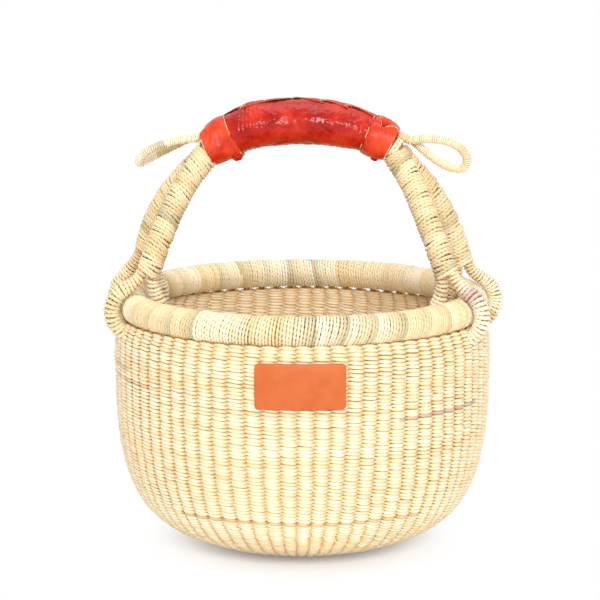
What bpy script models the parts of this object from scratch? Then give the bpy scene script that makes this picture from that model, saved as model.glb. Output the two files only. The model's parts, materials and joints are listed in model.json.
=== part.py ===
"""A small round bolga basket of twined straw, with a wrapped rim and a leather-bound handle.

The basket stands on its flat base at the origin, +Z up, seen from the front along +Y.
All lengths are metres. Handle pieces are modelled in the frame of the handle's pivot: its
origin is on the line that the handle leans about, level with the middle of the rim's roll,
with X along that line.
"""
import math

import bmesh
import bpy
from mathutils import Matrix, Vector

# Fits
FIT_GAP = 0.0003                # between two pieces that touch
CORE_SLACK = 0.0006             # between a straw core and the wrap round it
OVERRUN = 0.004                 # how far a cutter runs past the face it opens

# Bowl
BODY_RADIUS = 0.120             # outside of the wall where it is widest
BASE_RADIUS = 0.049             # flat round base
WALL_THICKNESS = 0.005
BELLY_HEIGHT = 0.115            # the wall is upright and widest here
BASE_PULL = 0.047               # how far the base's edge runs on before it climbs
BASE_LIFT = 0.006               # climb of that stretch
BELLY_PULL = 0.096              # length of the upright pull under the belly

# Rim
RIM_INSET = 0.011               # from the widest wall in to the middle of the roll
RIM_HEIGHT = 0.157              # middle of the roll above the floor
RIM_ROLL_RADIUS = 0.0095
RIM_WRAP_THICKNESS = 0.0020
RIM_CORE_SLACK = 0.0009         # straw packing between the core and the wrap
WALL_ENTRY_ANGLE = math.radians(-62)    # where the wall enters the roll, below its outer side
WALL_NECK = 0.0040              # straight stretch of wall just under the roll
NECK_PULL_SHARE = 0.25          # how far that stretch bends the wall below it

# Handle: two hoops, front and back, that part below the grip and fork at the rim
HANDLE_YAW = math.radians(-4)   # the handle sits a little turned on the bowl
HANDLE_RISE = 0.1145            # middle of the grip above the middle of the rim
GRIP_DEPTH = -0.002             # middle of the grip from the bowl's axis, front is minus
LEG_RADIUS = 0.0076             # wrapped leg, outside
LEG_WRAP_THICKNESS = 0.0018
SHOULDER_SPAN = 0.0585          # from the middle out to where a leg leaves its cuff
SHOULDER_DROP = 0.0165          # how far that point lies below the middle of the grip
SHOULDER_SLOPE = math.radians(50)
CROWN_PULL = 0.030              # pulls of the arch between crown, shoulder and fork
SHOULDER_PULL = 0.014
LEG_PULL = 0.020
FORK_PULL = 0.024
FRONT_LEFT_ANGLE = math.radians(-21)    # of a foot round the rim from the side, front is minus
FRONT_RIGHT_ANGLE = math.radians(-23.3)
BACK_FOOT_ANGLE = math.radians(8.5)
FRONT_LEFT_RISE = 0.0230        # from the middle of the roll up to a fork
FRONT_RIGHT_RISE = 0.0250
BACK_LEFT_RISE = 0.0285
BACK_RIGHT_RISE = 0.0225
FORK_NECK = 0.003               # straight end of a leg above its fork
FRONT_FORK_TILT = math.radians(20)      # how far a fork leans in over the bowl
BACK_LEFT_TILT = math.radians(11)
BACK_RIGHT_TILT = math.radians(16)

# Rim loops: each leg's two halves close round the rim, through the wall
LOOP_RADIUS = 0.0053            # wrapped strand, outside
LOOP_WRAP_THICKNESS = 0.0013
LOOP_SIDE_SLACK = 0.0012        # beside the rim
LOOP_LOW_SLACK = 0.0018         # under the rim, which lets the handle lean
LOOP_FORK_SHARE = 0.70          # thickness of a strand at the fork, against the rest
LOOP_TAPER_SHARE = 0.85
LOOP_NECK = 0.0015              # straight end of a strand under the fork
LOOP_FORK_PULL = 0.004
LOOP_SIDE_PULL = 0.008
NOTCH_SIDE_SLACK = 0.0017       # in the wall, beside a loop
NOTCH_LOW_SLACK = 0.0022        # in the wall, below a loop

# Leather grip, cuffs and lacing
GRIP_HALF_HEIGHT = 0.0144
LEATHER_THICKNESS = 0.0014
PADDING_SIDE = 0.0006           # padding beside the two hoops, at its thinnest
GRIP_END_SHARE = 0.72           # of the way from crown to shoulder
GRIP_NECK_SHARE = 0.92          # thickness of the grip's ends, against its middle
CUFF_START_SHARE = 0.64
LEG_WRAP_START_SHARE = 0.93
CUFF_END_HALF_HEIGHT = 0.0129
CUFF_SIDE_SLACK = 0.0006        # beside the two legs
SEAM_ANGLE = math.radians(42)   # behind the grip's top
SEAM_RADIUS = 0.0013
SEAM_REACH_SHARE = 0.58
LACE_RADIUS = 0.0008
LACE_HALF_WIDTH = 0.0036
LACE_CROSSINGS = 12
THREAD_RADIUS = 0.0006
THREAD_SETBACK_SHARE = 0.06

# Hanging loops
HANGER_RADIUS = 0.0028
HANGER_LENGTH = 0.038
HANGER_HALF_WIDTH = 0.0115      # of its middle line, before the teardrop draws it in
HANGER_BOW = 0.0030             # rise of its middle above a straight line
HANGER_DROOP = math.radians(21)
HANGER_LEFT_ROLL = math.radians(10)
HANGER_RIGHT_ROLL = math.radians(-58)
HANGER_END_SHARES = [(-0.90, 0.44), (-0.55, 0.84)]  # setback and thickness, against its radius

# Label, left plain
LABEL_WIDTH = 0.054
LABEL_HEIGHT = 0.0275
LABEL_THICKNESS = 0.0015
LABEL_CORNER = 0.0025
LABEL_DROP = 0.031              # middle of the label below the middle of the rim
LABEL_SHIFT = -0.0013

# Faceting
TURN_STEPS = 40
PROFILE_STEPS = 8
NECK_STEPS = 3
ROLL_STEPS = 10
CORE_SIDES = 8
CORNER_STEPS = 3
TUBE_RESOLUTION = 2
SLEEVE_RESOLUTION = 4
THREAD_RESOLUTION = 1
ARCH_STEPS = 8
CUFF_STEPS = 3
LEG_STEPS = 7
LOOP_STEPS = 10
LOOP_BEND_STEPS = 2
HANGER_STEPS = 20
THREAD_STEPS = 24
MERGE = 0.00001
SLOPE_STEP_SHARE = 0.00001      # step along the arch that gives its direction

# Worked out from the sizes above
RIM_RADIUS = BODY_RADIUS - RIM_INSET
RIM_CORE_RADIUS = RIM_ROLL_RADIUS - RIM_WRAP_THICKNESS - RIM_CORE_SLACK
HOOP_CORE_RADIUS = LEG_RADIUS - LEG_WRAP_THICKNESS - CORE_SLACK
LOOP_CORE_RADIUS = LOOP_RADIUS - LOOP_WRAP_THICKNESS - CORE_SLACK
HOOP_OFFSET = LEG_RADIUS + FIT_GAP / 2
PADDING_HALF_HEIGHT = GRIP_HALF_HEIGHT - LEATHER_THICKNESS - FIT_GAP
PADDING_HALF_WIDTH = (HOOP_OFFSET + HOOP_CORE_RADIUS + FIT_GAP + PADDING_SIDE) / GRIP_NECK_SHARE
GRIP_HALF_WIDTH = PADDING_HALF_WIDTH + FIT_GAP + LEATHER_THICKNESS
CUFF_HALF_HEIGHT = GRIP_HALF_HEIGHT * GRIP_NECK_SHARE + FIT_GAP + LEATHER_THICKNESS
CUFF_END_HALF_WIDTH = HOOP_OFFSET + LEG_RADIUS + CUFF_SIDE_SLACK + LEATHER_THICKNESS
CUFF_NECK_SHARE = CUFF_END_HALF_HEIGHT / CUFF_HALF_HEIGHT
CUFF_HALF_WIDTH = CUFF_END_HALF_WIDTH / CUFF_NECK_SHARE
FOOT_ANGLES = [FRONT_LEFT_ANGLE, FRONT_RIGHT_ANGLE, BACK_FOOT_ANGLE, BACK_FOOT_ANGLE]
PIVOT_DEPTH = RIM_RADIUS * sum(math.sin(angle) for angle in FOOT_ANGLES) / len(FOOT_ANGLES)

AXIS_Y = Vector((0, 1, 0))

# Colours (linear) and surfaces
STRAW = ("straw", (0.80, 0.66, 0.40), 0.62)
STRAW_CORE = ("straw_core", (0.62, 0.47, 0.25), 0.75)
RED_LEATHER = ("red_leather", (0.52, 0.045, 0.018), 0.32)
TAN_LEATHER = ("tan_leather", (0.72, 0.20, 0.075), 0.50)
PADDING_CLOTH = ("padding_cloth", (0.55, 0.48, 0.38), 0.90)
THREAD = ("thread", (0.74, 0.50, 0.30), 0.60)


def clear_scene():
    for scene_object in list(bpy.data.objects):
        bpy.data.objects.remove(scene_object, do_unlink=True)


def make_collection(name):
    collection = bpy.data.collections.new(name)
    bpy.context.scene.collection.children.link(collection)
    return collection


def make_material(finish):
    name, colour, roughness = finish
    material = bpy.data.materials.get(name)
    if material is None:
        material = bpy.data.materials.new(name)
        material.use_nodes = True
        shader = material.node_tree.nodes["Principled BSDF"]
        shader.inputs["Base Color"].default_value = (*colour, 1)
        shader.inputs["Roughness"].default_value = roughness
        shader.inputs["Metallic"].default_value = 0
    return material


def place(piece, finish, parent=None, location=(0, 0, 0)):
    """Put a finished piece in the basket's collection."""
    basket.objects.link(piece)
    piece.data.materials.append(make_material(finish))
    piece.parent = parent
    piece.location = location
    return piece


def hide_cutter(cutter, parent=None):
    cutters.objects.link(cutter)
    cutter.hide_render = True
    cutter.display_type = "WIRE"
    cutter.parent = parent
    return cutter


def add_boolean(piece, cutter, operation="DIFFERENCE"):
    modifier = piece.modifiers.new(operation.lower() + "_" + cutter.name, "BOOLEAN")
    modifier.operation = operation
    modifier.object = cutter
    modifier.solver = "EXACT"


def bezier(start, start_pull, end_pull, end, share):
    rest = 1 - share
    return (start * rest ** 3 + start_pull * 3 * rest ** 2 * share
            + end_pull * 3 * rest * share ** 2 + end * share ** 3)


def bezier_points(start, start_pull, end_pull, end, steps, first=0, last=1):
    shares = [first + (last - first) * step / steps for step in range(steps + 1)]
    return [bezier(start, start_pull, end_pull, end, share) for share in shares]


def outline_mesh(name, points):
    """An open outline in the XZ plane, ready to be turned about Z."""
    mesh = bpy.data.meshes.new(name)
    edges = [(i, i + 1) for i in range(len(points) - 1)]
    mesh.from_pydata([(point[0], 0, point[1]) for point in points], edges, [])
    return mesh


def turned_shell(name, outline, thickness, offset):
    """Turn an open outline about Z and give the surface its thickness."""
    shell = bpy.data.objects.new(name, outline_mesh(name, outline))
    screw = shell.modifiers.new("turn", "SCREW")
    screw.steps = TURN_STEPS
    screw.render_steps = TURN_STEPS
    screw.use_merge_vertices = True
    screw.merge_threshold = MERGE
    solid = shell.modifiers.new("thickness", "SOLIDIFY")
    solid.thickness = thickness
    solid.offset = offset
    solid.use_even_offset = True
    return shell


def tube_curve(name, points, radius, shares=None, resolution=TUBE_RESOLUTION, cyclic=False,
               twist="Z_UP"):
    """A round bar along the points, with a thickness share for each point."""
    curve = bpy.data.curves.new(name, "CURVE")
    curve.dimensions = "3D"
    curve.twist_mode = twist
    curve.bevel_depth = radius
    curve.bevel_resolution = resolution
    curve.use_fill_caps = not cyclic
    spline = curve.splines.new("POLY")
    spline.points.add(len(points) - 1)
    for index, point in enumerate(points):
        spline.points[index].co = (*point, 1)
        spline.points[index].radius = shares[index] if shares else 1
    spline.use_cyclic_u = cyclic
    return bpy.data.objects.new(name, curve)


def tube_mesh(name, points, radius, shares=None, widen=1, shift=0, twist="Z_UP",
              resolution=TUBE_RESOLUTION):
    """The same bar as a closed mesh, widened along Y and moved by shift."""
    guide = tube_curve(name + "_guide", points, radius, shares, resolution, twist=twist)
    bpy.context.scene.collection.objects.link(guide)
    bpy.context.view_layer.update()
    evaluated = guide.evaluated_get(bpy.context.evaluated_depsgraph_get())
    mesh = bpy.data.meshes.new_from_object(evaluated)
    bpy.data.objects.remove(guide, do_unlink=True)
    solid = bmesh.new()
    solid.from_mesh(mesh)
    bmesh.ops.remove_doubles(solid, verts=solid.verts, dist=MERGE)
    bmesh.ops.transform(solid, verts=solid.verts,
                        matrix=Matrix.Translation((0, shift, 0)) @ Matrix.Scale(widen, 4, AXIS_Y))
    bmesh.ops.recalc_face_normals(solid, faces=solid.faces)
    solid.to_mesh(mesh)
    solid.free()
    mesh.name = name
    return bpy.data.objects.new(name, mesh)


def longer(points, length):
    """The same route with both ends run straight on by a length."""
    start = points[0] + (points[0] - points[1]).normalized() * length
    end = points[-1] + (points[-1] - points[-2]).normalized() * length
    return [start] + points + [end]


def spread_shares(count, end_shares):
    """Thickness shares along a route: end_shares at each end, full between."""
    shares = list(end_shares)
    return shares + [1] * (count - 2 * len(shares)) + shares[::-1]


def rim_point(angle, distance):
    """A point in the rim's cross-section, from the middle of the roll."""
    return Vector((RIM_RADIUS + distance * math.cos(angle), RIM_HEIGHT + distance * math.sin(angle)))


def wall_outline():
    """The bowl's outer side, from its top edge in the rim down to the middle of the base."""
    entry = Vector((math.cos(WALL_ENTRY_ANGLE), math.sin(WALL_ENTRY_ANGLE)))
    outward = Vector((-entry.y, entry.x)) * WALL_THICKNESS / 2
    top = rim_point(WALL_ENTRY_ANGLE, RIM_CORE_RADIUS + FIT_GAP) + outward
    neck = rim_point(WALL_ENTRY_ANGLE, RIM_ROLL_RADIUS + WALL_NECK) + outward
    belly = Vector((BODY_RADIUS, BELLY_HEIGHT))
    base_edge = Vector((BASE_RADIUS, 0))
    pull = (neck - belly).length * NECK_PULL_SHARE
    upper = bezier_points(neck, neck + entry * pull, belly + Vector((0, pull)), belly, NECK_STEPS)
    lower = bezier_points(belly, belly - Vector((0, BELLY_PULL)),
                          base_edge + Vector((BASE_PULL, BASE_LIFT)), base_edge, PROFILE_STEPS)
    return [top] + upper + lower[1:] + [Vector((0, 0))]


def make_bowl():
    bowl = place(turned_shell("woven_bowl", wall_outline(), WALL_THICKNESS, -1), STRAW)
    for name, (side, foot_angle, _, _) in FEET.items():
        way_out = math.atan2(math.sin(foot_angle), side * math.cos(foot_angle))
        add_boolean(bowl, loop_notch("notch_" + name, way_out + HANDLE_YAW))


def loop_notch(name, way_out):
    """A slot in the wall under the rim, where a rim loop goes through."""
    half_width = LOOP_RADIUS + NOTCH_SIDE_SLACK
    bottom = RIM_HEIGHT - RIM_ROLL_RADIUS - LOOP_LOW_SLACK - 2 * LOOP_RADIUS - NOTCH_LOW_SLACK
    top = RIM_HEIGHT
    reach = RIM_ROLL_RADIUS + WALL_THICKNESS
    solid = bmesh.new()
    bmesh.ops.create_cube(solid, size=1)
    bmesh.ops.scale(solid, verts=solid.verts, vec=(2 * reach, 2 * half_width, top - bottom))
    bmesh.ops.translate(solid, verts=solid.verts, vec=(RIM_RADIUS + reach / 2, 0, (top + bottom) / 2))
    bmesh.ops.rotate(solid, verts=solid.verts, matrix=Matrix.Rotation(way_out, 3, "Z"))
    mesh = bpy.data.meshes.new(name)
    solid.to_mesh(mesh)
    solid.free()
    return hide_cutter(bpy.data.objects.new(name, mesh))


def make_rim():
    bpy.ops.mesh.primitive_torus_add(
        major_segments=TURN_STEPS, minor_segments=CORE_SIDES, major_radius=RIM_RADIUS,
        minor_radius=RIM_CORE_RADIUS, location=(0, 0, RIM_HEIGHT))
    core = bpy.context.active_object
    core.name = "rim_core"
    core.users_collection[0].objects.unlink(core)
    place(core, STRAW_CORE, location=(0, 0, RIM_HEIGHT))
    lip = RIM_WRAP_THICKNESS * math.sin(math.pi / ROLL_STEPS)
    opening = math.asin((WALL_THICKNESS / 2 + FIT_GAP + lip) / (RIM_ROLL_RADIUS - RIM_WRAP_THICKNESS))
    first = WALL_ENTRY_ANGLE + opening
    turn = 2 * math.pi - 2 * opening
    angles = [first + turn * (1 - step / ROLL_STEPS) for step in range(ROLL_STEPS + 1)]
    outline = [rim_point(angle, RIM_ROLL_RADIUS) for angle in angles]
    place(turned_shell("rim_wrap", outline, RIM_WRAP_THICKNESS, -1), STRAW)


def make_label():
    """A plate cut out of a shell that lies on the wall, so that it follows the wall."""
    middle = RIM_HEIGHT - LABEL_DROP
    solid = bmesh.new()
    bmesh.ops.create_cube(solid, size=1)
    bmesh.ops.scale(solid, verts=solid.verts, vec=(LABEL_WIDTH, BODY_RADIUS, LABEL_HEIGHT))
    corners = [edge for edge in solid.edges
               if abs(edge.verts[0].co.y - edge.verts[1].co.y) > BODY_RADIUS / 2]
    bmesh.ops.bevel(solid, geom=corners, offset=LABEL_CORNER, segments=CORNER_STEPS,
                    profile=0.5, affect="EDGES")
    bmesh.ops.translate(solid, verts=solid.verts, vec=(LABEL_SHIFT, -BODY_RADIUS, middle))
    mesh = bpy.data.meshes.new("leather_label")
    solid.to_mesh(mesh)
    solid.free()
    label = place(bpy.data.objects.new("leather_label", mesh), TAN_LEATHER)
    outline = [point + Vector((FIT_GAP, 0)) for point in wall_outline()[1:-1]]
    shell = hide_cutter(turned_shell("label_shell", outline, LABEL_THICKNESS, 1))
    add_boolean(label, shell, "INTERSECT")


def arch_line(side, share):
    """The line down the middle of the grip, from the crown to one shoulder."""
    crown = Vector((0, 0, HANDLE_RISE))
    shoulder = Vector((side * SHOULDER_SPAN, 0, HANDLE_RISE - SHOULDER_DROP))
    back_up = Vector((side * math.cos(SHOULDER_SLOPE), 0, -math.sin(SHOULDER_SLOPE))) * -SHOULDER_PULL
    return bezier(crown, crown + Vector((side * CROWN_PULL, 0, 0)), shoulder + back_up, shoulder, share)


def grip_points(end_share, steps):
    """The grip's middle line from left to right, to end_share of each side."""
    shares = [end_share * step / steps for step in range(-steps, steps + 1)]
    return [arch_line(math.copysign(1, share), abs(share)) for share in shares]


def cuff_points(side):
    """A cuff's middle line, from over the grip's end out to the shoulder."""
    run = 1 - CUFF_START_SHARE
    shares = [CUFF_START_SHARE + run * step / CUFF_STEPS for step in range(CUFF_STEPS + 1)]
    return [arch_line(side, share) for share in shares]


def grip_middle():
    return GRIP_DEPTH - PIVOT_DEPTH


def foot_frame(foot):
    """The middle of the rim at a foot, and the way out from the bowl's axis there."""
    side, foot_angle, _, _ = foot
    outward = Vector((side * math.cos(foot_angle), math.sin(foot_angle), 0))
    return outward * RIM_RADIUS - Vector((0, PIVOT_DEPTH, 0)), outward


def fork_frame(foot):
    """The fork's point, and the way down from it to the middle of the rim."""
    _, _, rise, tilt = foot
    rim_middle, outward = foot_frame(foot)
    down = outward * math.sin(tilt) - Vector((0, 0, math.cos(tilt)))
    return rim_middle - down * rise, down


def hoop_depth(hoop):
    """How far a hoop lies to the back of the pivot where it is in the grip."""
    return Vector((0, grip_middle() + HOOPS[hoop] * HOOP_OFFSET, 0))


def leg_points(hoop, side_name, steps):
    """One leg's middle line from the shoulder down to the fork."""
    side = SIDES[side_name]
    shoulder = arch_line(side, 1) + hoop_depth(hoop)
    leave = Vector((side * math.cos(SHOULDER_SLOPE), 0, -math.sin(SHOULDER_SLOPE)))
    fork, down = fork_frame(FEET[hoop + "_" + side_name])
    neck = fork - down * FORK_NECK
    return bezier_points(shoulder, shoulder + leave * LEG_PULL, neck - down * FORK_PULL, neck,
                         steps) + [fork]


def hoop_points(hoop):
    """A whole hoop's middle line, from the left fork over the grip to the right fork."""
    arch = [point + hoop_depth(hoop) for point in grip_points(1, ARCH_STEPS)]
    left = leg_points(hoop, "left", LEG_STEPS)[::-1]
    right = leg_points(hoop, "right", LEG_STEPS)
    return left[:-1] + arch + right[1:]


def make_hoop(hoop):
    """The straw core of a hoop, and the straw wrapped round each of its legs."""
    place(tube_curve("hoop_core_" + hoop, hoop_points(hoop), HOOP_CORE_RADIUS), STRAW_CORE, handle)
    for side_name, side in SIDES.items():
        start = arch_line(side, LEG_WRAP_START_SHARE) + hoop_depth(hoop)
        route = [start] + leg_points(hoop, side_name, LEG_STEPS)
        wrap_name = "leg_wrap_" + hoop + "_" + side_name
        wrap = place(tube_mesh(wrap_name, route, LEG_RADIUS), STRAW, handle)
        bore = tube_mesh(wrap_name + "_bore", longer(route, OVERRUN), LEG_RADIUS - LEG_WRAP_THICKNESS)
        add_boolean(wrap, hide_cutter(bore, handle))


def loop_points(foot):
    """A rim loop's middle line: down the inner side, under the rim and up outside."""
    _, _, rise, tilt = foot
    rim_middle, outward = foot_frame(foot)
    fork, down = fork_frame(foot)
    up = Vector((0, 0, 1))
    across = outward * math.cos(tilt) + up * math.sin(tilt)
    start = fork + down * FIT_GAP
    parting = across * (LOOP_RADIUS * LOOP_FORK_SHARE + FIT_GAP / 2)
    bend = RIM_ROLL_RADIUS + LOOP_SIDE_SLACK + LOOP_RADIUS
    middle = rim_middle - up * (LOOP_LOW_SLACK - LOOP_SIDE_SLACK)

    def on_ring(angle):
        return middle + (outward * math.cos(angle) + up * math.sin(angle)) * bend * round_up

    def along_ring(angle):
        return up * math.cos(angle) - outward * math.sin(angle)

    half = math.acos(bend / rise)
    inner_angle = math.pi / 2 + tilt + half
    outer_angle = math.pi / 2 + tilt - half + 2 * math.pi
    sweep = outer_angle - inner_angle
    round_up = 1 / math.cos(sweep / LOOP_STEPS / 2)
    ring = [inner_angle + sweep * step / LOOP_STEPS for step in range(LOOP_STEPS + 1)]
    inner_end = start - parting
    outer_end = start + parting
    inner_neck = inner_end + down * LOOP_NECK
    outer_neck = outer_end + down * LOOP_NECK
    inner = bezier_points(inner_neck, inner_neck + down * LOOP_FORK_PULL,
                          on_ring(inner_angle) - along_ring(inner_angle) * LOOP_SIDE_PULL,
                          on_ring(inner_angle), LOOP_BEND_STEPS)
    outer = bezier_points(on_ring(outer_angle),
                          on_ring(outer_angle) + along_ring(outer_angle) * LOOP_SIDE_PULL,
                          outer_neck + down * LOOP_FORK_PULL, outer_neck, LOOP_BEND_STEPS)
    around = [on_ring(angle) for angle in ring[1:-1]]
    return [inner_end] + inner + around + outer + [outer_end]


def make_rim_loop(name, foot):
    """The straw core of a rim loop and the straw wrapped round it."""
    route = loop_points(foot)
    shares = spread_shares(len(route), [LOOP_FORK_SHARE, LOOP_FORK_SHARE, LOOP_TAPER_SHARE])
    core = tube_curve("loop_core_" + name, route, LOOP_CORE_RADIUS, shares, twist="MINIMUM")
    place(core, STRAW_CORE, handle)
    wrap = tube_mesh("loop_wrap_" + name, route, LOOP_RADIUS, shares, twist="MINIMUM")
    place(wrap, STRAW, handle)
    bore_shares = [LOOP_FORK_SHARE] + shares + [LOOP_FORK_SHARE]
    bore = tube_mesh("loop_bore_" + name, longer(route, OVERRUN),
                     LOOP_RADIUS - LOOP_WRAP_THICKNESS, bore_shares, twist="MINIMUM")
    add_boolean(wrap, hide_cutter(bore, handle))


def oval_sleeve(name, points, half_height, half_width, shares, finish):
    """A leather sleeve of oval section along the points, open at both ends."""
    shift = grip_middle()
    sleeve = tube_mesh(name, points, half_height, shares, half_width / half_height, shift,
                       resolution=SLEEVE_RESOLUTION)
    place(sleeve, finish, handle)
    inner_height = half_height - LEATHER_THICKNESS
    inner_width = half_width - LEATHER_THICKNESS
    bore_shares = [shares[0]] + shares + [shares[-1]]
    bore = tube_mesh(name + "_bore", longer(points, OVERRUN), inner_height, bore_shares,
                     inner_width / inner_height, shift, resolution=SLEEVE_RESOLUTION)
    add_boolean(sleeve, hide_cutter(bore, handle))
    return sleeve


def make_grip():
    """The padding over both hoops and the leather sewn round it."""
    points = grip_points(GRIP_END_SHARE, ARCH_STEPS)
    shares = spread_shares(len(points), [GRIP_NECK_SHARE, GRIP_NECK_SHARE, (1 + GRIP_NECK_SHARE) / 2])
    oval_sleeve("leather_grip", points, GRIP_HALF_HEIGHT, GRIP_HALF_WIDTH, shares, RED_LEATHER)
    padding = tube_mesh("grip_padding", points, PADDING_HALF_HEIGHT, shares,
                        PADDING_HALF_WIDTH / PADDING_HALF_HEIGHT, grip_middle(),
                        resolution=SLEEVE_RESOLUTION)
    place(padding, PADDING_CLOTH, handle)
    for hoop in HOOPS:
        bore = tube_mesh("padding_bore_" + hoop, hoop_points(hoop), HOOP_CORE_RADIUS + FIT_GAP)
        add_boolean(padding, hide_cutter(bore, handle))


def make_cuffs():
    """A leather cuff over each end of the grip, tied with thread at its inner edge."""
    for side_name, side in SIDES.items():
        points = cuff_points(side)
        last = len(points) - 1
        taper = [1 + (CUFF_NECK_SHARE - 1) * index / (last - 1) for index in range(last)]
        shares = [1] + taper
        oval_sleeve("leather_cuff_" + side_name, points, CUFF_HALF_HEIGHT, CUFF_HALF_WIDTH,
                    shares, RED_LEATHER)
        thread = [cuff_surface(side, 2 * math.pi * step / THREAD_STEPS) for step in range(THREAD_STEPS)]
        place(tube_curve("cuff_thread_" + side_name, thread, THREAD_RADIUS, None,
                         THREAD_RESOLUTION, True, "MINIMUM"), THREAD, handle)


def surface_point(side, share, angle, half_height, half_width):
    """A point round the arch's oval section; angle 0 is its top, plus is to the back."""
    here = arch_line(side, share)
    ahead = (arch_line(side, share + SLOPE_STEP_SHARE) - here).normalized() * side
    normal = Vector((-ahead.z, 0, ahead.x))
    across = Vector((0, grip_middle() + half_width * math.sin(angle), 0))
    return here + normal * half_height * math.cos(angle) + across


def cuff_surface(side, angle):
    """The thread's route round a cuff, just inside the cuff's inner edge."""
    lift = 2 * FIT_GAP + THREAD_RADIUS
    share = CUFF_START_SHARE + THREAD_SETBACK_SHARE
    return surface_point(side, share, angle, CUFF_HALF_HEIGHT + lift, CUFF_HALF_WIDTH + lift)


def make_seam():
    """The rolled seam along the back of the grip's top, and the lace sewn over it."""
    lift = FIT_GAP + SEAM_RADIUS
    shares = [SEAM_REACH_SHARE * step / ARCH_STEPS for step in range(-ARCH_STEPS, ARCH_STEPS + 1)]
    seam = [surface_point(math.copysign(1, share), abs(share), SEAM_ANGLE,
                          GRIP_HALF_HEIGHT + lift, GRIP_HALF_WIDTH + lift) for share in shares]
    place(tube_curve("grip_seam", seam, SEAM_RADIUS), RED_LEATHER, handle)
    over = 3 * FIT_GAP + 2 * SEAM_RADIUS + LACE_RADIUS
    beside = FIT_GAP + LACE_RADIUS
    half_angle = LACE_HALF_WIDTH / GRIP_HALF_HEIGHT
    lace = []
    for crossing in range(LACE_CROSSINGS + 1):
        share = SEAM_REACH_SHARE * (2 * crossing / LACE_CROSSINGS - 1)
        side = math.copysign(1, share)
        swing = half_angle if crossing % 2 else -half_angle
        lace.append(surface_point(side, abs(share), SEAM_ANGLE + swing,
                                  GRIP_HALF_HEIGHT + beside, GRIP_HALF_WIDTH + beside))
        if crossing < LACE_CROSSINGS:
            half_way = SEAM_REACH_SHARE * ((2 * crossing + 1) / LACE_CROSSINGS - 1)
            lace.append(surface_point(math.copysign(1, half_way), abs(half_way), SEAM_ANGLE,
                                      GRIP_HALF_HEIGHT + over, GRIP_HALF_WIDTH + over))
    place(tube_curve("grip_lace", lace, LACE_RADIUS, None, THREAD_RESOLUTION), RED_LEATHER, handle)


def hanger_root(side):
    """Where a hanging loop leaves its cuff, in the groove on top of the two legs."""
    shoulder = arch_line(side, 1)
    leave = Vector((side * math.cos(SHOULDER_SLOPE), 0, -math.sin(SHOULDER_SLOPE)))
    upward = Vector((side * math.sin(SHOULDER_SLOPE), 0, math.cos(SHOULDER_SLOPE)))
    reach = LEG_RADIUS + FIT_GAP + HANGER_RADIUS
    beside = HOOP_OFFSET - HANGER_RADIUS - FIT_GAP
    lift = math.sqrt(reach ** 2 - beside ** 2) + FIT_GAP
    out = HANGER_RADIUS + FIT_GAP
    return shoulder + leave * out + upward * lift + Vector((0, grip_middle(), 0))


def make_hanger(name, side, roll):
    """A teardrop loop whose two rounded ends turn on the spot at the cuff."""
    along = Vector((side * math.cos(HANGER_DROOP), 0, -math.sin(HANGER_DROOP)))
    across = Matrix.Rotation(roll, 3, along) @ AXIS_Y
    upward = Vector((side * math.sin(HANGER_DROOP), 0, math.cos(HANGER_DROOP)))
    parting = HANGER_RADIUS + FIT_GAP
    route = []
    for step in range(HANGER_STEPS + 1):
        turn = 2 * math.pi * step / HANGER_STEPS
        reach = HANGER_LENGTH * (1 - math.cos(turn)) / 2
        spread = math.sin(turn) * math.sin(turn / 2) ** 2
        near_end = math.cos(turn / 2)
        ends = AXIS_Y * near_end * parting
        bow = upward * HANGER_BOW * math.sin(turn / 2) ** 2 * abs(near_end) * 2
        route.append(along * reach + across * spread * HANGER_HALF_WIDTH + ends + bow)
    setbacks = [along * HANGER_RADIUS * setback for setback, thickness in HANGER_END_SHARES]
    thicknesses = [thickness for setback, thickness in HANGER_END_SHARES]
    points = [route[0] + setback for setback in setbacks] + route
    points += [route[-1] + setback for setback in setbacks[::-1]]
    shares = spread_shares(len(points), thicknesses)
    loop = tube_curve("hanging_loop_" + name, points, HANGER_RADIUS, shares, twist="MINIMUM")
    place(loop, STRAW, handle, hanger_root(side))


SIDES = {"left": -1, "right": 1}
HOOPS = {"front": -1, "back": 1}
FEET = {
    "front_left": (-1, FRONT_LEFT_ANGLE, FRONT_LEFT_RISE, FRONT_FORK_TILT),
    "front_right": (1, FRONT_RIGHT_ANGLE, FRONT_RIGHT_RISE, FRONT_FORK_TILT),
    "back_left": (-1, BACK_FOOT_ANGLE, BACK_LEFT_RISE, BACK_LEFT_TILT),
    "back_right": (1, BACK_FOOT_ANGLE, BACK_RIGHT_RISE, BACK_RIGHT_TILT),
}

clear_scene()
basket = make_collection("bolga_basket")
cutters = make_collection("cutters")

handle = bpy.data.objects.new("handle_pivot", None)
basket.objects.link(handle)
handle.location = Matrix.Rotation(HANDLE_YAW, 3, "Z") @ Vector((0, PIVOT_DEPTH, RIM_HEIGHT))
handle.rotation_euler = (0, 0, HANDLE_YAW)

make_bowl()
make_rim()
make_label()
for hoop_name in HOOPS:
    make_hoop(hoop_name)
for foot_name, foot_shape in FEET.items():
    make_rim_loop(foot_name, foot_shape)
make_grip()
make_cuffs()
make_seam()
make_hanger("left", -1, HANGER_LEFT_ROLL)
make_hanger("right", 1, HANGER_RIGHT_ROLL)
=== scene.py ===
# %% [markdown]
# # A small round bolga basket
#
# The real basket is made of dried grass straw and a little leather. Upright stakes of
# straw carry rows of twined strands, the rim and the handle are bundles of straw wound
# with more straw, and the grip is sewn into red leather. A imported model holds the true
# sizes and the joints. This script dresses it: every strand is a tube that follows a
# rule, so the light finds the same small gaps as it does between real strands.

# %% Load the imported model
import json
import math
from functools import partial

import bmesh
import bpy
import numpy as np
from mathutils import Matrix, Vector, noise


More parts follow.
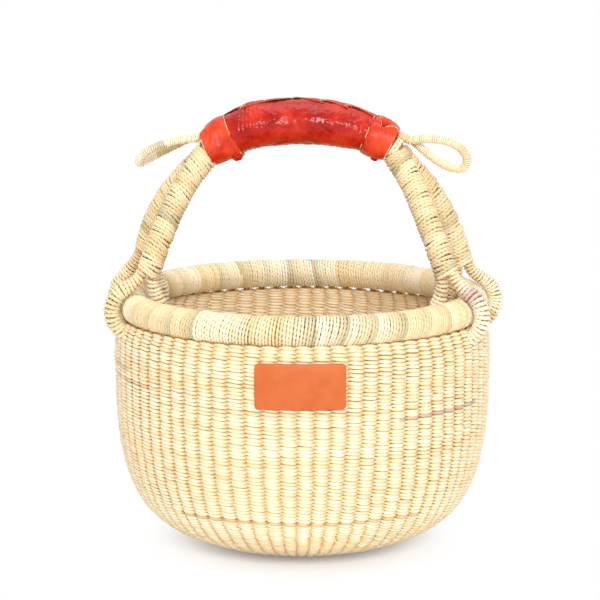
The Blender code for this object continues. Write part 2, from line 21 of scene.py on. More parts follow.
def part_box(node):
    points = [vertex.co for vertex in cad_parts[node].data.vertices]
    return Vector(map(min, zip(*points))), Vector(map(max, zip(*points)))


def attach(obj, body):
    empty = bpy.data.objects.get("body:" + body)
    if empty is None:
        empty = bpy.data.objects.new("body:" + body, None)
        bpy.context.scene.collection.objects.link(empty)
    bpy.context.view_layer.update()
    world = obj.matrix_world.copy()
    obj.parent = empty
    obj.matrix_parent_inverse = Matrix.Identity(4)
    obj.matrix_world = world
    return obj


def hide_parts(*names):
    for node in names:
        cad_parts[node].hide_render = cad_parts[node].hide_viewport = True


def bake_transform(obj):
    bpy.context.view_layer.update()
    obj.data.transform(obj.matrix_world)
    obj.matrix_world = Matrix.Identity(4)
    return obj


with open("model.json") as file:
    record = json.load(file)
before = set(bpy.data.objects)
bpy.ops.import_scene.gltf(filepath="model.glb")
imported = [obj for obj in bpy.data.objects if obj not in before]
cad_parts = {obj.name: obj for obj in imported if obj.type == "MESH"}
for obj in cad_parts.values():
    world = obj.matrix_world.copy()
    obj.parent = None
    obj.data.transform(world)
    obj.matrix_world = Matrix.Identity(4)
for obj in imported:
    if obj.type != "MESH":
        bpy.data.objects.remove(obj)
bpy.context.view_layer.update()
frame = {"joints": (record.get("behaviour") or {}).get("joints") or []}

MM = 0.001

# %% [markdown]
# ## Camera
#
# The photograph was taken from a little above, with a long lens from more than a metre
# away, which keeps the two rims of the bowl nearly parallel. The focal length is known in
# pixels of the picture, so it is turned into millimetres of sensor here.

# %% Camera
PICTURE_WIDTH = 600  # pixels
FOCAL_PIXELS = 2221
MIDDLE_PIXEL = 302.4  # the basket's axis in the picture
SENSOR_WIDTH = 36  # millimetres
CAMERA_DISTANCE = 1.40
CAMERA_HEIGHT = 0.4027
CAMERA_PITCH = math.radians(9.953)  # looking down


def new_object(name, data):
    """An object of the scene, at the origin."""
    holder = bpy.data.objects.new(name, data)
    bpy.context.scene.collection.objects.link(holder)
    return holder


camera = new_object("camera", bpy.data.cameras.new("camera"))
camera.location = (0, -CAMERA_DISTANCE, CAMERA_HEIGHT)
camera.rotation_euler = (math.pi / 2 - CAMERA_PITCH, 0, 0)
camera.data.sensor_width = SENSOR_WIDTH
camera.data.lens = FOCAL_PIXELS / PICTURE_WIDTH * SENSOR_WIDTH
camera.data.shift_x = (PICTURE_WIDTH / 2 - MIDDLE_PIXEL) / PICTURE_WIDTH
bpy.context.scene.camera = camera
bpy.context.scene.view_settings.view_transform = "Standard"
print("lens", round(camera.data.lens, 1), "mm")

# %% [markdown]
# ## Colours and nodes
#
# Colours are picked as sRGB hex values, the way they look on a screen. Blender mixes
# light in linear values, so one function converts them. Another adds a node with its
# settings and links, which keeps each material short enough to read.


# %% Colour and node helpers
def linear(hex_colour):
    """An sRGB hex colour as the linear RGBA that shaders work in."""
    parts = [int(hex_colour[start:start + 2], 16) / 255 for start in (1, 3, 5)]
    return tuple(p / 12.92 if p <= 0.04045 else ((p + 0.055) / 1.055) ** 2.4 for p in parts) + (1,)


def add_node(owner, kind, inputs=None, **settings):
    """Adds a shader node. Each input is a value, a socket, or a node whose first output is meant."""
    tree = owner.node_tree
    node = tree.nodes.new("ShaderNode" + kind)
    for name, value in settings.items():
        setattr(node, name, value)
    for name, value in (inputs or {}).items():
        if isinstance(value, bpy.types.Node):
            value = value.outputs[0]
        if isinstance(value, bpy.types.NodeSocket):
            tree.links.new(value, node.inputs[name])
        else:
            node.inputs[name].default_value = value
    return node


def node_adder(owner):
    """Empties a new material or world of nodes, and gives back a function that adds them."""
    owner.use_nodes = True
    owner.node_tree.nodes.clear()
    return partial(add_node, owner)


def set_ramp(ramp_node, stops):
    """Gives a colour ramp its stops, a list of (place, hex colour)."""
    elements = ramp_node.color_ramp.elements
    while len(elements) < len(stops):
        elements.new(0.5)
    for element, (place, colour) in zip(elements, stops):
        element.position = place
        element.color = linear(colour)


# %% [markdown]
# ## Light, floor and background
#
# The picture is a bright studio cut-out: white all round, soft light from the front and
# above, and only a thin shadow where the base touches the floor. A white world gives the
# even light, a large lamp in front gives the gloss on the leather, a weaker one above
# reaches into the bowl, and the floor is white but still takes the shadow.

# %% World and lamps
WORLD_LEVEL = 0.68
KEY_POWER = 50
KEY_SIZE = (1.1, 0.6)
KEY_PLACE = (0.20, -2.50, 1.20)
TOP_POWER = 8
TOP_SIZE = (1.0, 1.0)
TOP_PLACE = (0, 0.10, 1.55)
AIM = (0, 0, 0.14)
WHITE = (1, 1, 1, 1)

world = bpy.data.worlds.new("white_studio")
bpy.context.scene.world = world
node = node_adder(world)
rays = node("LightPath").outputs
seen = node("Math", {0: rays["Is Camera Ray"], 1: rays["Is Glossy Ray"]}, operation="MAXIMUM")
seen = node("Math", {0: seen, 1: rays["Is Transmission Ray"]}, operation="MAXIMUM")
level = node("Background", {"Color": WHITE, "Strength": WORLD_LEVEL})
white = node("Background", {"Color": WHITE, "Strength": 1})
sky = node("MixShader", {0: seen, 1: level, 2: white})
node("OutputWorld", {"Surface": sky})


def add_lamp(name, place, power, size):
    """A rectangular soft lamp that points at the basket."""
    lamp = bpy.data.lights.new(name, "AREA")
    lamp.shape = "RECTANGLE"
    lamp.size, lamp.size_y = size
    lamp.energy = power
    holder = new_object(name, lamp)
    holder.location = place
    holder.rotation_euler = (Vector(AIM) - Vector(place)).to_track_quat("-Z", "Y").to_euler()


add_lamp("key_lamp", KEY_PLACE, KEY_POWER, KEY_SIZE)
add_lamp("top_lamp", TOP_PLACE, TOP_POWER, TOP_SIZE)
print("lamps", [lamp.name for lamp in bpy.data.lights])

# %% Floor
FLOOR_SIZE = 60
SHADOW_REACH = (0.045, 0.110)  # metres from the axis, where the floor turns plain white
FLOOR_LIFT = 0.22  # added to what the camera sees of the floor

floor_paper = bpy.data.materials.new("white_paper_floor")
node = node_adder(floor_paper)
place = node("TexCoord").outputs["Object"]
distance = node("VectorMath", {0: place}, operation="LENGTH").outputs["Value"]
far = node("MapRange", {"Value": distance, "From Min": SHADOW_REACH[0], "From Max": SHADOW_REACH[1]},
           interpolation_type="SMOOTHSTEP")
paper = node("BsdfDiffuse", {"Color": linear("#F4F4F4")})
lift = node("Emission", {"Color": WHITE, "Strength": FLOOR_LIFT})
near_look = node("AddShader", {0: paper, 1: lift})
plain = node("Emission", {"Color": WHITE, "Strength": 1})
seen_look = node("MixShader", {0: far, 1: near_look, 2: plain})
camera_ray = node("LightPath").outputs["Is Camera Ray"]
look = node("MixShader", {0: camera_ray, 1: paper, 2: seen_look})
node("OutputMaterial", {"Surface": look})


def finished_mesh(shape, name, *materials):
    """A bmesh as a smooth mesh with its materials."""
    mesh = bpy.data.meshes.new(name)
    shape.to_mesh(mesh)
    shape.free()
    mesh.shade_smooth()
    for material in materials:
        mesh.materials.append(material)
    return mesh


floor_shape = bmesh.new()
bmesh.ops.create_grid(floor_shape, x_segments=1, y_segments=1, size=FLOOR_SIZE / 2)
floor = new_object("floor", finished_mesh(floor_shape, "floor", floor_paper))
print("floor", FLOOR_SIZE, "m")

# %% [markdown]
# ## Straw
#
# Each strand is dried elephant grass, split, rolled and twisted by hand. It is pale and a
# little waxy, from cream to gold, with a greener or browner strand here and there where
# the grass was cut low on the stalk. A strand carries three values in its mesh: tone (how
# pale), stain (above zero mauve, below it olive, as some stalks are), and strand, a place
# measured round and along it, so that the fibres always run lengthwise.

# %% Straw material
FIBRE_WIDTH = 0.35 * MM
FIBRE_LENGTH = 9 * MM
FIBRE_SHADE = (-0.13, 0.10)  # of the darkest and the palest fibres, on a strand's tone
SCATTER = (0.7 * MM, 0.42 * MM, 0.18 * MM)  # how far red, green and blue light spread inside straw
STRAW_TONES = [(0.0, "#8A6228"), (0.2, "#C0955A"), (0.42, "#E6C58C"), (0.68, "#F5E3C1"), (1.0, "#FEF7EA")]
# The straw of the bundles and stakes is coloured darker than the outer straw: painted shade for the gaps
# where it shows.
CORE_TONES_WITH_PAINTED_SHADE = [(0.0, "#8A5A1E"), (0.4, "#C08C44"), (0.7, "#D6A860"), (1.0, "#E6C080")]
VALUES = ("strand", "tone", "stain")
MAUVE = "#A98088"
OLIVE = "#AAA27C"


def straw_material(name, tones):
    """Dried, hand-twisted grass: waxy, streaked along its length."""
    material = bpy.data.materials.new(name)
    node = node_adder(material)
    place, tone, stain = [node("Attribute", attribute_name=value).outputs for value in VALUES]
    fibre_place = node("VectorMath", {
        0: place["Vector"], 1: (1 / FIBRE_WIDTH, 1 / FIBRE_WIDTH, 1 / FIBRE_LENGTH)}, operation="MULTIPLY")
    fibres = node("TexNoise", {"Vector": fibre_place, "Scale": 1, "Detail": 2, "Roughness": 0.6})
    shade = node("MapRange", {
        "Value": fibres, "From Min": 0.3, "From Max": 0.7,
        "To Min": FIBRE_SHADE[0], "To Max": FIBRE_SHADE[1]})
    shifted = node("Math", {0: tone["Fac"], 1: shade}, operation="ADD")
    ramp = node("ValToRGB", {"Fac": shifted})
    set_ramp(ramp, tones)
    mauve = node("MixRGB", {"Fac": stain["Fac"], "Color1": ramp, "Color2": linear(MAUVE)})
    greener = node("Math", {0: stain["Fac"], 1: -1}, operation="MULTIPLY")
    stained = node("MixRGB", {"Fac": greener, "Color1": mauve, "Color2": linear(OLIVE)})
    relief = node("Bump", {"Strength": 0.5, "Distance": 0.12 * MM, "Height": fibres})
    shader = node("BsdfPrincipled", {
        "Base Color": stained, "Roughness": 0.34, "IOR": 1.5, "Subsurface Weight": 0.3,
        "Subsurface Radius": SCATTER, "Subsurface Scale": 1, "Normal": relief})
    node("OutputMaterial", {"Surface": shader})
    return material


strand_looks = {  # for each slot that strands use
    "straw": straw_material("twisted_grass_straw", STRAW_TONES),
    "straw_core": straw_material("bundled_grass_straw_painted_shade", CORE_TONES_WITH_PAINTED_SHADE),
}
print("materials", [look.name for look in strand_looks.values()])

# %% [markdown]
# ## Strands as tubes
#
# A strand could be drawn with a bump on a plain wall, but its outline and its shadow gaps
# would be missing. A bevelled curve is the lightest real tube: it needs only the points
# of the strand's middle line and a thickness at each point. The curve becomes a mesh, and
# because its points come in order, each value of a strand can be written on it.


# %% Strands
def strand(points, thick=1.0, tone=0.6, stain=0.0):
    """One strand's middle line with its thickness, tone and stain at each point."""
    count = len(points)
    return [points] + [np.broadcast_to(value, (count,)).astype(float) for value in (thick, tone, stain)]


def running_length(points):
    """Distance along a line of points, from its first one."""
    return np.concatenate([[0], np.cumsum(np.linalg.norm(np.diff(points, axis=0), axis=1))])


# %% Tubes from strands
TUBE_SIDES = 6  # of a curve with bevel_resolution 1


def made_mesh(guide, name):
    """The mesh that a curve's bevel or a sheet's modifier makes, in place of the guide object."""
    bpy.context.view_layer.update()
    mesh = bpy.data.meshes.new_from_object(guide.evaluated_get(bpy.context.evaluated_depsgraph_get()))
    bpy.data.objects.remove(guide)
    mesh.name = name
    return mesh


def write_values(mesh, strands, radius):
    """Writes tone, stain and the place round and along each strand on a tube mesh."""
    turn = np.arange(TUBE_SIDES) * 2 * math.pi / TUBE_SIDES
    section = np.column_stack([np.cos(turn), np.sin(turn)]) * radius
    places = [np.column_stack([np.tile(section, (len(points), 1)),
                               np.repeat(running_length(points) + index, TUBE_SIDES)])
              for index, (points, *_) in enumerate(strands)]
    for name, column in (("tone", 2), ("stain", 3)):
        values = np.concatenate([np.repeat(line[column], TUBE_SIDES) for line in strands])
        mesh.attributes.new(name, "FLOAT", "POINT").data.foreach_set("value", values)
    mesh.attributes.new("strand", "FLOAT_VECTOR", "POINT").data.foreach_set(
        "vector", np.concatenate(places).ravel())


def close_ends(mesh):
    """Closes the open ends of tubes."""
    solid = bmesh.new()
    solid.from_mesh(mesh)
    edges = [edge for edge in solid.edges if edge.is_boundary]
    bmesh.ops.holes_fill(solid, edges=edges, sides=TUBE_SIDES)
    solid.to_mesh(mesh)
    solid.free()


def strand_mesh(name, strands, radius, closed):
    """All strands of one piece as round tubes in one mesh, with their values on it."""
    curve = bpy.data.curves.new(name, "CURVE")
    curve.dimensions = "3D"
    curve.twist_mode = "MINIMUM"
    curve.bevel_depth = radius
    curve.bevel_resolution = 1
    for points, thick, *_ in strands:
        spline = curve.splines.new("POLY")
        spline.points.add(len(points) - 1)
        spline.points.foreach_set("co", np.column_stack([points, np.ones(len(points))]).ravel())
        spline.points.foreach_set("radius", thick)
        spline.use_cyclic_u = closed
    mesh = made_mesh(new_object(name + "_guide", curve), name)
    write_values(mesh, strands, radius)
    if not closed:
        close_ends(mesh)
    mesh.shade_smooth()
    return mesh


# %% Pieces
def add_piece(name, mesh, body, nodes):
    """Puts a finished mesh in the scene, on its body if it has one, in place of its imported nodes."""
    piece = new_object(name, mesh)
    if body:
        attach(piece, body)
    if nodes:
        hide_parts(*nodes)
    print(name, "faces", len(mesh.polygons))
    return piece


def add_strands(name, strands, radius, slot, body, node, closed=False):
    """Makes strands of one look a piece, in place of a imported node."""
    mesh = strand_mesh(name, strands, radius, closed)
    mesh.materials.append(strand_looks[slot])
    return add_piece(name, mesh, body, [node])


# %% [markdown]
# ## The bowl's wall
#
# The wall is twined: seventy-two stakes of straw stand round the bowl, and in each row two
# strands go round together, one in front of a stake and the other behind it, and swap in
# every gap. Seen from outside each strand crosses a stake with a slight fall to the right
# and dives into the gap, which leaves the columns of small dark holes. The rule for that
# is a flattened wave in and out of the wall and a small wave up and down it.

# %% The wall's outline
RIM_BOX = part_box("rim_wrap")
RIM_HEIGHT = (RIM_BOX[0].z + RIM_BOX[1].z) / 2
ROLL_RADIUS = (RIM_BOX[1].z - RIM_BOX[0].z) / 2
RIM_RADIUS = RIM_BOX[1].y - ROLL_RADIUS
BODY_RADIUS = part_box("woven_bowl")[1].y
BASE_RADIUS = 42 * MM
BELLY_HEIGHT = 109 * MM
BELLY_PULL = 96 * MM
BASE_PULL = (46 * MM, 12.5 * MM)
WALL_ENTRY_ANGLE = math.radians(-62)
WALL_THICKNESS = 5 * MM
WALL_NECK = 4 * MM
NECK_PULL_SHARE = 0.25
MID_DEPTH = 2.75 * MM  # from the wall's outside in to the middle of its stakes
OUTLINE_POINTS = 900


def bezier(start, start_pull, end_pull, end, share):
    """Points of a Bezier curve at an array of shares of its way."""
    share = share[:, None]
    rest = 1 - share
    return (np.array(start) * rest ** 3 + np.array(start_pull) * 3 * rest ** 2 * share
            + np.array(end_pull) * 3 * rest * share ** 2 + np.array(end) * share ** 3)


def along_route(values, lengths, places):
    """Values given at the points of a line, read off at other distances along it."""
    return np.column_stack([np.interp(places, lengths, column) for column in values.T])


def unit(vectors):
    """Vectors, one in each row, brought to length 1."""
    return vectors / np.linalg.norm(vectors, axis=1)[:, None]


def wall_outline():
    """The wall's outer side (radius, height), from under the rim to the middle of the base."""
    entry = np.array([math.cos(WALL_ENTRY_ANGLE), math.sin(WALL_ENTRY_ANGLE)])
    outward = np.array([-entry[1], entry[0]]) * WALL_THICKNESS / 2
    middle = np.array([RIM_RADIUS, RIM_HEIGHT])
    top = middle + entry * ROLL_RADIUS / 2 + outward
    neck = middle + entry * (ROLL_RADIUS + WALL_NECK) + outward
    belly = np.array([BODY_RADIUS, BELLY_HEIGHT])
    base = np.array([BASE_RADIUS, 0])
    pull = np.linalg.norm(neck - belly) * NECK_PULL_SHARE
    upper = bezier(neck, neck + entry * pull, belly + [0, pull], belly, np.linspace(0, 1, 60))
    lower = bezier(belly, belly - [0, BELLY_PULL], base + BASE_PULL, base, np.linspace(0, 1, 400))
    return np.vstack([top, upper, lower[1:], [[0.001 * MM, 0]]])


outside = wall_outline()
outside_length = running_length(outside)
outside = along_route(outside, outside_length, np.linspace(0, outside_length[-1], OUTLINE_POINTS))
slope = unit(np.gradient(outside, axis=0))
wall_out = np.column_stack([-slope[:, 1], slope[:, 0]])
wall_mid = outside - wall_out * MID_DEPTH
wall_length = running_length(wall_mid)
print("wall length", round(wall_length[-1], 4))


# %% Where a point of the weave lies
STAKE_LEANS = [(3, 0.4, 9, 0.010), (5, 2.0, 17, 0.006), (7, 4.5, 25, 0.004)]  # none is quite upright


def wall_place(angle, length, out):
    """A place on the bowl: angle round it, distance down the wall, and distance out of it."""
    angle = angle + sum(size * np.sin(count * angle + start + climb * length)
                        for count, start, climb, size in STAKE_LEANS)
    radius, height = [np.interp(length, wall_length, wall_mid[:, axis])
                      + out * np.interp(length, wall_length, wall_out[:, axis]) for axis in (0, 1)]
    return np.column_stack([radius * np.cos(angle), radius * np.sin(angle), height])


# %% Where the rows lie
ROW_PITCH = 2.3 * MM
RIM_CLEARANCE = 0.3 * MM
BASE_HOLE = 2.2 * MM  # from the last row to the middle of the base

from_rim = np.linalg.norm(wall_mid - [RIM_RADIUS, RIM_HEIGHT], axis=1)
first_row = wall_length[np.argmax(from_rim > ROLL_RADIUS + RIM_CLEARANCE)] + ROW_PITCH / 2
last_row = wall_length[-1] - BASE_HOLE
row_places = np.linspace(first_row, last_row, round((last_row - first_row) / ROW_PITCH) + 1)
print("rows", len(row_places))

# %% How the rows wander
BACK_DROP = 3.4 * MM  # of the first row at the back, which leaves the row of holes there
BACK_POWER = 2.5  # how near the back that drop stays
DROP_FADE = 25 * MM
WAVE_SIZE = 0.16 * MM

draw = np.random.default_rng(21)
waves = [(draw.integers(2, 9), draw.uniform(0, 6.28), draw.uniform(20, 90), draw.normal(0, WAVE_SIZE))
         for _ in range(7)]


def waviness(angle, length):
    """A slow wander of the rows, which neighbouring rows share, and their drop under the rim at the back."""
    wave = sum(size * np.sin(count * angle + start + climb * length) for count, start, climb, size in waves)
    drop = ((1 + np.sin(angle)) / 2) ** BACK_POWER * BACK_DROP
    return wave + drop * math.exp(-(length - first_row) / DROP_FADE)


# %% Tones round a row
STITCH_POINTS = 6
ROW_STRAWS = 3  # laid in one after the other round a row
ROW_TONE = (0.67, 0.055)  # middle and spread
MARKED_STRAWS = [  # height, from and to degrees round, how much darker, stain
    (101.5 * MM, 300, 334, 0.10, 0.5),
    (122 * MM, 184, 206, 0.16, -0.4),
    (115 * MM, 184, 222, 0.18, 0.15),
    (38.5 * MM, 226, 313, 0.22, 0.12),
]


def straw_tones(stakes):
    """Tone at each point round a row: it changes where one straw ends and the next is laid in."""
    cuts = np.sort(draw.integers(0, stakes, ROW_STRAWS)) * STITCH_POINTS
    number = np.searchsorted(cuts, np.arange(stakes * STITCH_POINTS), side="right") % ROW_STRAWS
    return draw.normal(*ROW_TONE, ROW_STRAWS)[number]


def marked(tone, angle, length):
    """The tone and stain of a row, with the darker straws of this basket in it."""
    height = np.interp(length, wall_length, wall_mid[:, 1])
    degrees = np.degrees(angle)
    stain = np.zeros(len(angle))
    for middle, first, last, darker, colour in MARKED_STRAWS:
        here = (abs(height - middle) < ROW_PITCH / 2) & (degrees > first) & (degrees < last)
        tone, stain = np.where(here, tone - darker, tone), np.where(here, colour, stain)
    return tone, stain


# %% Twined rows
STAKES = 72
STAKE_ENDS = (47 * MM, 21 * MM, 9 * MM, 5 * MM)  # radius where every second one ends, and so on
ROW_SWELL = 0.05  # how much thicker or thinner a row is
STRAND_RADIUS = 1.28 * MM
WEAVE_DEPTH = 1.32 * MM  # of a strand in front of or behind the stakes' middle
WEAVE_FALL = 0.40 * MM  # up and down along one stitch
STITCH_FLATNESS = 1.35  # how long a strand stays out over its stake
STITCH_LIFT = 0.11 * MM  # how far a stitch sits high or low
STITCH_SWELL = 0.06  # how much thicker or thinner it is
STITCH_SLIP = 0.045  # how far it slips round the bowl, against its length
GAP_THICKNESS = 0.42  # of a strand where it dives into a gap, against the rest
# painted shade: a strand's colour is darkened where it dives into a gap
PAINTED_GAP_SHADE = 0.24  # how much darker it is there


def each_stitch(place, stakes, middle, spread):
    """A random value for each stitch of a row, read off at every point round it."""
    values = draw.normal(middle, spread, stakes + 1)
    values[-1] = values[0]
    return np.interp(place, np.arange(stakes + 1), values)


def twined_row(length):
    """The two strands of one row, as closed rings."""
    radius = np.interp(length, wall_length, wall_mid[:, 0])
    stakes = STAKES >> sum(radius < end for end in STAKE_ENDS[:3])
    place = np.arange(stakes * STITCH_POINTS) / STITCH_POINTS
    angle = 2 * math.pi * place / stakes
    stray = waviness(angle, length) + each_stitch(place, stakes, 0, STITCH_LIFT)
    swell = each_stitch(place, stakes, 1, STITCH_SWELL)
    angle = angle + 2 * math.pi * each_stitch(place, stakes, 0, STITCH_SLIP) / stakes
    dive = np.tanh(STITCH_FLATNESS * np.cos(math.pi * place)) / math.tanh(STITCH_FLATNESS)
    fall = np.sin(math.pi * place) * np.abs(np.sin(math.pi * place)) ** 0.5
    thick = GAP_THICKNESS + (1 - GAP_THICKNESS) * np.abs(dive) ** 0.8
    thick = thick * swell * (1 + draw.normal(0, ROW_SWELL))
    rings = []
    for side in (1, -1):
        points = wall_place(angle, length + stray + side * WEAVE_FALL * fall, side * WEAVE_DEPTH * dive)
        tone, stain = marked(straw_tones(stakes), angle, length)
        # the tone is lowered towards each gap: painted shade
        rings.append(strand(points, thick, tone - PAINTED_GAP_SHADE * (1 - np.abs(dive)), stain))
    return rings


# %% The wall's pieces
ROWS_PER_PIECE = 17

for number, first in enumerate(range(0, len(row_places), ROWS_PER_PIECE), 1):
    rings = [ring for length in row_places[first:first + ROWS_PER_PIECE] for ring in twined_row(length)]
    add_strands("twined_rows_" + str(number), rings, STRAND_RADIUS, "straw", "bowl", "woven_bowl",
                closed=True)

# %% [markdown]
# ## Stakes
#
# The stakes are what the rows hold on to: a pair of thin twisted straws side by side, from
# the rim down the wall and in under the base. Every second one stops where the base gets
# narrow, because fewer stakes fit there. They show in the gaps under the rim, and their
# straw is coloured darker, which paints shade into those gaps.

# %% Stakes
STAKE_RADIUS = 1.0 * MM
STAKE_SPREAD = 1.1 * MM  # of each straw of a pair from their middle
STAKE_MEETING = 20 * MM  # radius inside which the two draw together
STAKE_STEP = 5 * MM
STAKE_TONE = (0.45, 0.1)  # middle and spread


def stake(number, side):
    """One straw of a stake's pair, from the rim to where that stake ends."""
    rank = sum(number % every == 0 for every in (2, 4, 8))
    end = wall_length[np.argmax(wall_mid[:, 0] < STAKE_ENDS[rank])] - ROW_PITCH / 2
    places = np.linspace(0, end, round(end / STAKE_STEP))
    radius = np.interp(places, wall_length, wall_mid[:, 0])
    angle = 2 * math.pi * number / STAKES + side * STAKE_SPREAD / np.maximum(radius, STAKE_MEETING)
    return strand(wall_place(angle, places, 0), 1, draw.normal(*STAKE_TONE))


stakes = [stake(number, side) for number in range(STAKES) for side in (-1, 1)]
add_strands("stakes", stakes, STAKE_RADIUS, "straw_core", "bowl", "woven_bowl")

# %% [markdown]
# ## Straw wound round a bundle
#
# The rim, the legs and the small loops are bundles of straw wound tightly with one more
# strand. A torus or a pipe with stripes would look turned on a lathe, because what makes
# wound straw look hand-made is that no two turns agree: each sits a little high or low,
# leans its own way and is a little thicker or thinner. So one rule winds a strand round
# any route, and draws a shift, a lean, a lift and a swell for each turn.

# %% Colours along a wound strand
HANK_LENGTH = 560 * MM  # of one straw before the next is laid in
ROOT_SHADE = 0.18  # how much darker the darkest root end of a straw is
ROOT_GREEN = 0.85  # how olive the greenest is
ROOT_POWER = 2.2  # how near the root end that colour stays
GREEN_POWER = 1.3  # how rare the greenest are


def hank_colours(lengths, middle, spread):
    """Tone and stain along a wound strand: straw after straw, each darker or greener at its root end."""
    place = lengths / HANK_LENGTH + draw.uniform()
    straws = int(place[-1]) + 2
    tone = draw.normal(middle, spread, straws)
    depth = draw.uniform(0, ROOT_SHADE, straws)
    green = draw.uniform(0, 1, straws) ** GREEN_POWER * ROOT_GREEN
    number = place.astype(int)
    root = (place - number) ** ROOT_POWER
    return tone[number] - depth[number] * root, -green[number] * root


# %% Winding
SHIFT_SHARE = 0.025  # how far a turn strays along the bundle, against the pitch
LEAN_SHARE = 0.04  # how far a turn leans, against the pitch
LIFT_SHARE = 0.14  # how far a turn stands proud, against its own thickness
SWELL_SHARE = 0.05  # how much thicker or thinner a turn is
STRAY_SHARE = 0.05  # how far a strand strays within a turn, against the pitch
STRAY_LENGTH = 9 * MM
SLANT_WAVES = ((5, 1.3), (11, 4))  # how often the slant comes and goes along a route, and from where
SLANT_CHANGE = 0.4  # how much each of these does, against the slant
PLY_SHARE = 0.73  # thickness of a ply, against its strand
PLY_FLATNESS = 0.92  # of the two plies' turning, along the bundle against out of it
PLY_OFFSET_SHARE = 0.31  # of a ply from the middle of its strand, against its radius
PLY_TWIST = 7.6 * MM  # about the length in which two plies turn once round each other
TWIST_STEP = 0.11  # of a twist that each turn is ahead of the one before
TWIST_DRIFT = 1.6  # radians that the twist strays by
TWIST_DRIFT_TURNS = 6  # from one stray to the next
TURN_SHADE = 0.04  # how much darker or paler a turn is


def route_frame(route, reference, places):
    """Points of a route at distances along it, the way ahead there, and two directions square to it."""
    ahead = unit(np.gradient(route, axis=0))
    side = unit(np.cross(reference, ahead))
    lengths = running_length(route)
    return [along_route(values, lengths, places) for values in (route, ahead, side, np.cross(ahead, side))]


def wander(lengths, knot, size):
    """A random value along a strand, which drifts to a new one in every knot of its length."""
    knots = np.arange(0, lengths[-1] + 2 * knot, knot)
    return np.interp(lengths, knots, draw.normal(0, size, len(knots)))


def wind(route, reference, reach, pitch, radius, ends=None, profile=((0, 1), (1, 1)), slant=0.0,
         slant_turn=0.0, turn_points=36, tone=0.66, spread=0.06, stain=None, plies=2):
    """A strand of one or two plies wound round a route, its outside at reach from the route."""
    length = running_length(route)[-1]
    first, last = ends or (0, length)
    turns = round((last - first) / pitch)
    turn = np.arange(turns * turn_points + 1) / turn_points
    each = draw.normal(0, 1, (5, turns + 1))
    each[:, -1] = each[:, 0]
    shift, lean, lift, swell, shade = [np.interp(turn, np.arange(turns + 1), row) for row in each]
    share = turn / turns
    slow = sum(np.sin(share * 2 * math.pi * count + start) for count, start in SLANT_WAVES)
    angle = 2 * math.pi * turn
    wound = angle * reach
    along = first + (last - first) * share + pitch * (
        SHIFT_SHARE * shift + slant * (1 + SLANT_CHANGE * slow) * np.cos(angle - slant_turn)
        + LEAN_SHARE * lean * np.cos(angle) + wander(wound, STRAY_LENGTH, STRAY_SHARE))
    middle, ahead, side, top = route_frame(route, reference, np.clip(along, 0, length))
    radial = top * np.cos(angle)[:, None] + side * np.sin(angle)[:, None]
    size = np.interp(share, *zip(*profile))
    thick = size ** 0.5 * (1 + SWELL_SHARE * swell)
    distance = reach * size - radius * thick + LIFT_SHARE * radius * lift
    points = middle + radial * distance[:, None]
    tones, stains = hank_colours(wound, tone, spread)
    tones = tones + TURN_SHADE * shade
    stains = stains + (stain(share) if stain else 0)
    if plies == 1:
        return [strand(points, thick, tones, stains)]
    twists = round(2 * math.pi * reach / PLY_TWIST) + TWIST_STEP
    turned = angle * twists + wander(wound, TWIST_DRIFT_TURNS * 2 * math.pi * reach, TWIST_DRIFT)
    offset = (radial * np.cos(turned)[:, None] + ahead * PLY_FLATNESS * np.sin(turned)[:, None]) * (
        PLY_OFFSET_SHARE * radius * thick)[:, None]
    return [strand(points + sign * offset, thick, tones, stains) for sign in (1, -1)]


# %% Bundles
BUNDLE_TWIST = 400 * MM  # length in which a bundle turns once
BUNDLE_STEP = 4 * MM
BUNDLE_TONE = (0.5, 0.1)  # middle and spread


def add_bundle(name, route, reference, radius, body, node):
    """Seven straws side by side along a route, slightly twisted, as a piece."""
    length = running_length(route)[-1]
    places = np.linspace(0, length, max(round(length / BUNDLE_STEP), 4))
    middle, _, side, top = route_frame(route, reference, places)
    straws = [strand(middle, 1, draw.normal(*BUNDLE_TONE))]
    for number in range(6):
        angle = 2 * math.pi * (number / 6 + places / BUNDLE_TWIST)
        around = top * np.cos(angle)[:, None] + side * np.sin(angle)[:, None]
        straws.append(strand(middle + around * radius * 2 / 3, 1, draw.normal(*BUNDLE_TONE)))
    add_strands(name, straws, radius / 3, "straw_core", body, node)


# %% [markdown]
# ## The rim
#
# The tops of the stakes are bent over a thick bundle of straw, and a strand is wound round
# both, more than three hundred turns for the whole rim. The bundle is made too: it is what
# shows where two turns part, and its straw is coloured a darker brown, painted shade for
# those gaps.

# %% Rim
RIM_PITCH = 1.90 * MM
RIM_STRAND = 1.09 * MM
RIM_SLANT = 0.7
RIM_TURN_POINTS = 34
RIM_LAP = 0.2  # radians that the winding's route runs on past both ends
RIM_CORE_RADIUS = 6.9 * MM
UP = np.array([0.0, 0.0, 1.0])


def rim_circle(steps, extra):
    """The middle of the rim's roll as a circle from the right, run on past both ends by extra radians."""
    angle = np.linspace(-extra, 2 * math.pi + extra, steps)
    return np.column_stack([RIM_RADIUS * np.cos(angle), RIM_RADIUS * np.sin(angle),
                            np.full(steps, RIM_HEIGHT)])


rim_ends = (RIM_LAP * RIM_RADIUS, (RIM_LAP + 2 * math.pi) * RIM_RADIUS)
rim_turns = wind(rim_circle(1500, RIM_LAP), UP, ROLL_RADIUS, RIM_PITCH, RIM_STRAND, ends=rim_ends,
                 slant=RIM_SLANT, turn_points=RIM_TURN_POINTS)
half_way = len(rim_turns[0][0]) // 2
for name, first, last in (("back", 0, half_way + 1), ("front", half_way, None)):
    half_ring = [[column[first:last] for column in line] for line in rim_turns]
    add_strands("rim_winding_" + name, half_ring, RIM_STRAND * PLY_SHARE, "straw", "bowl", "rim_wrap")
add_bundle("rim_bundle", rim_circle(160, 0), UP, RIM_CORE_RADIUS, "bowl", "rim_core")

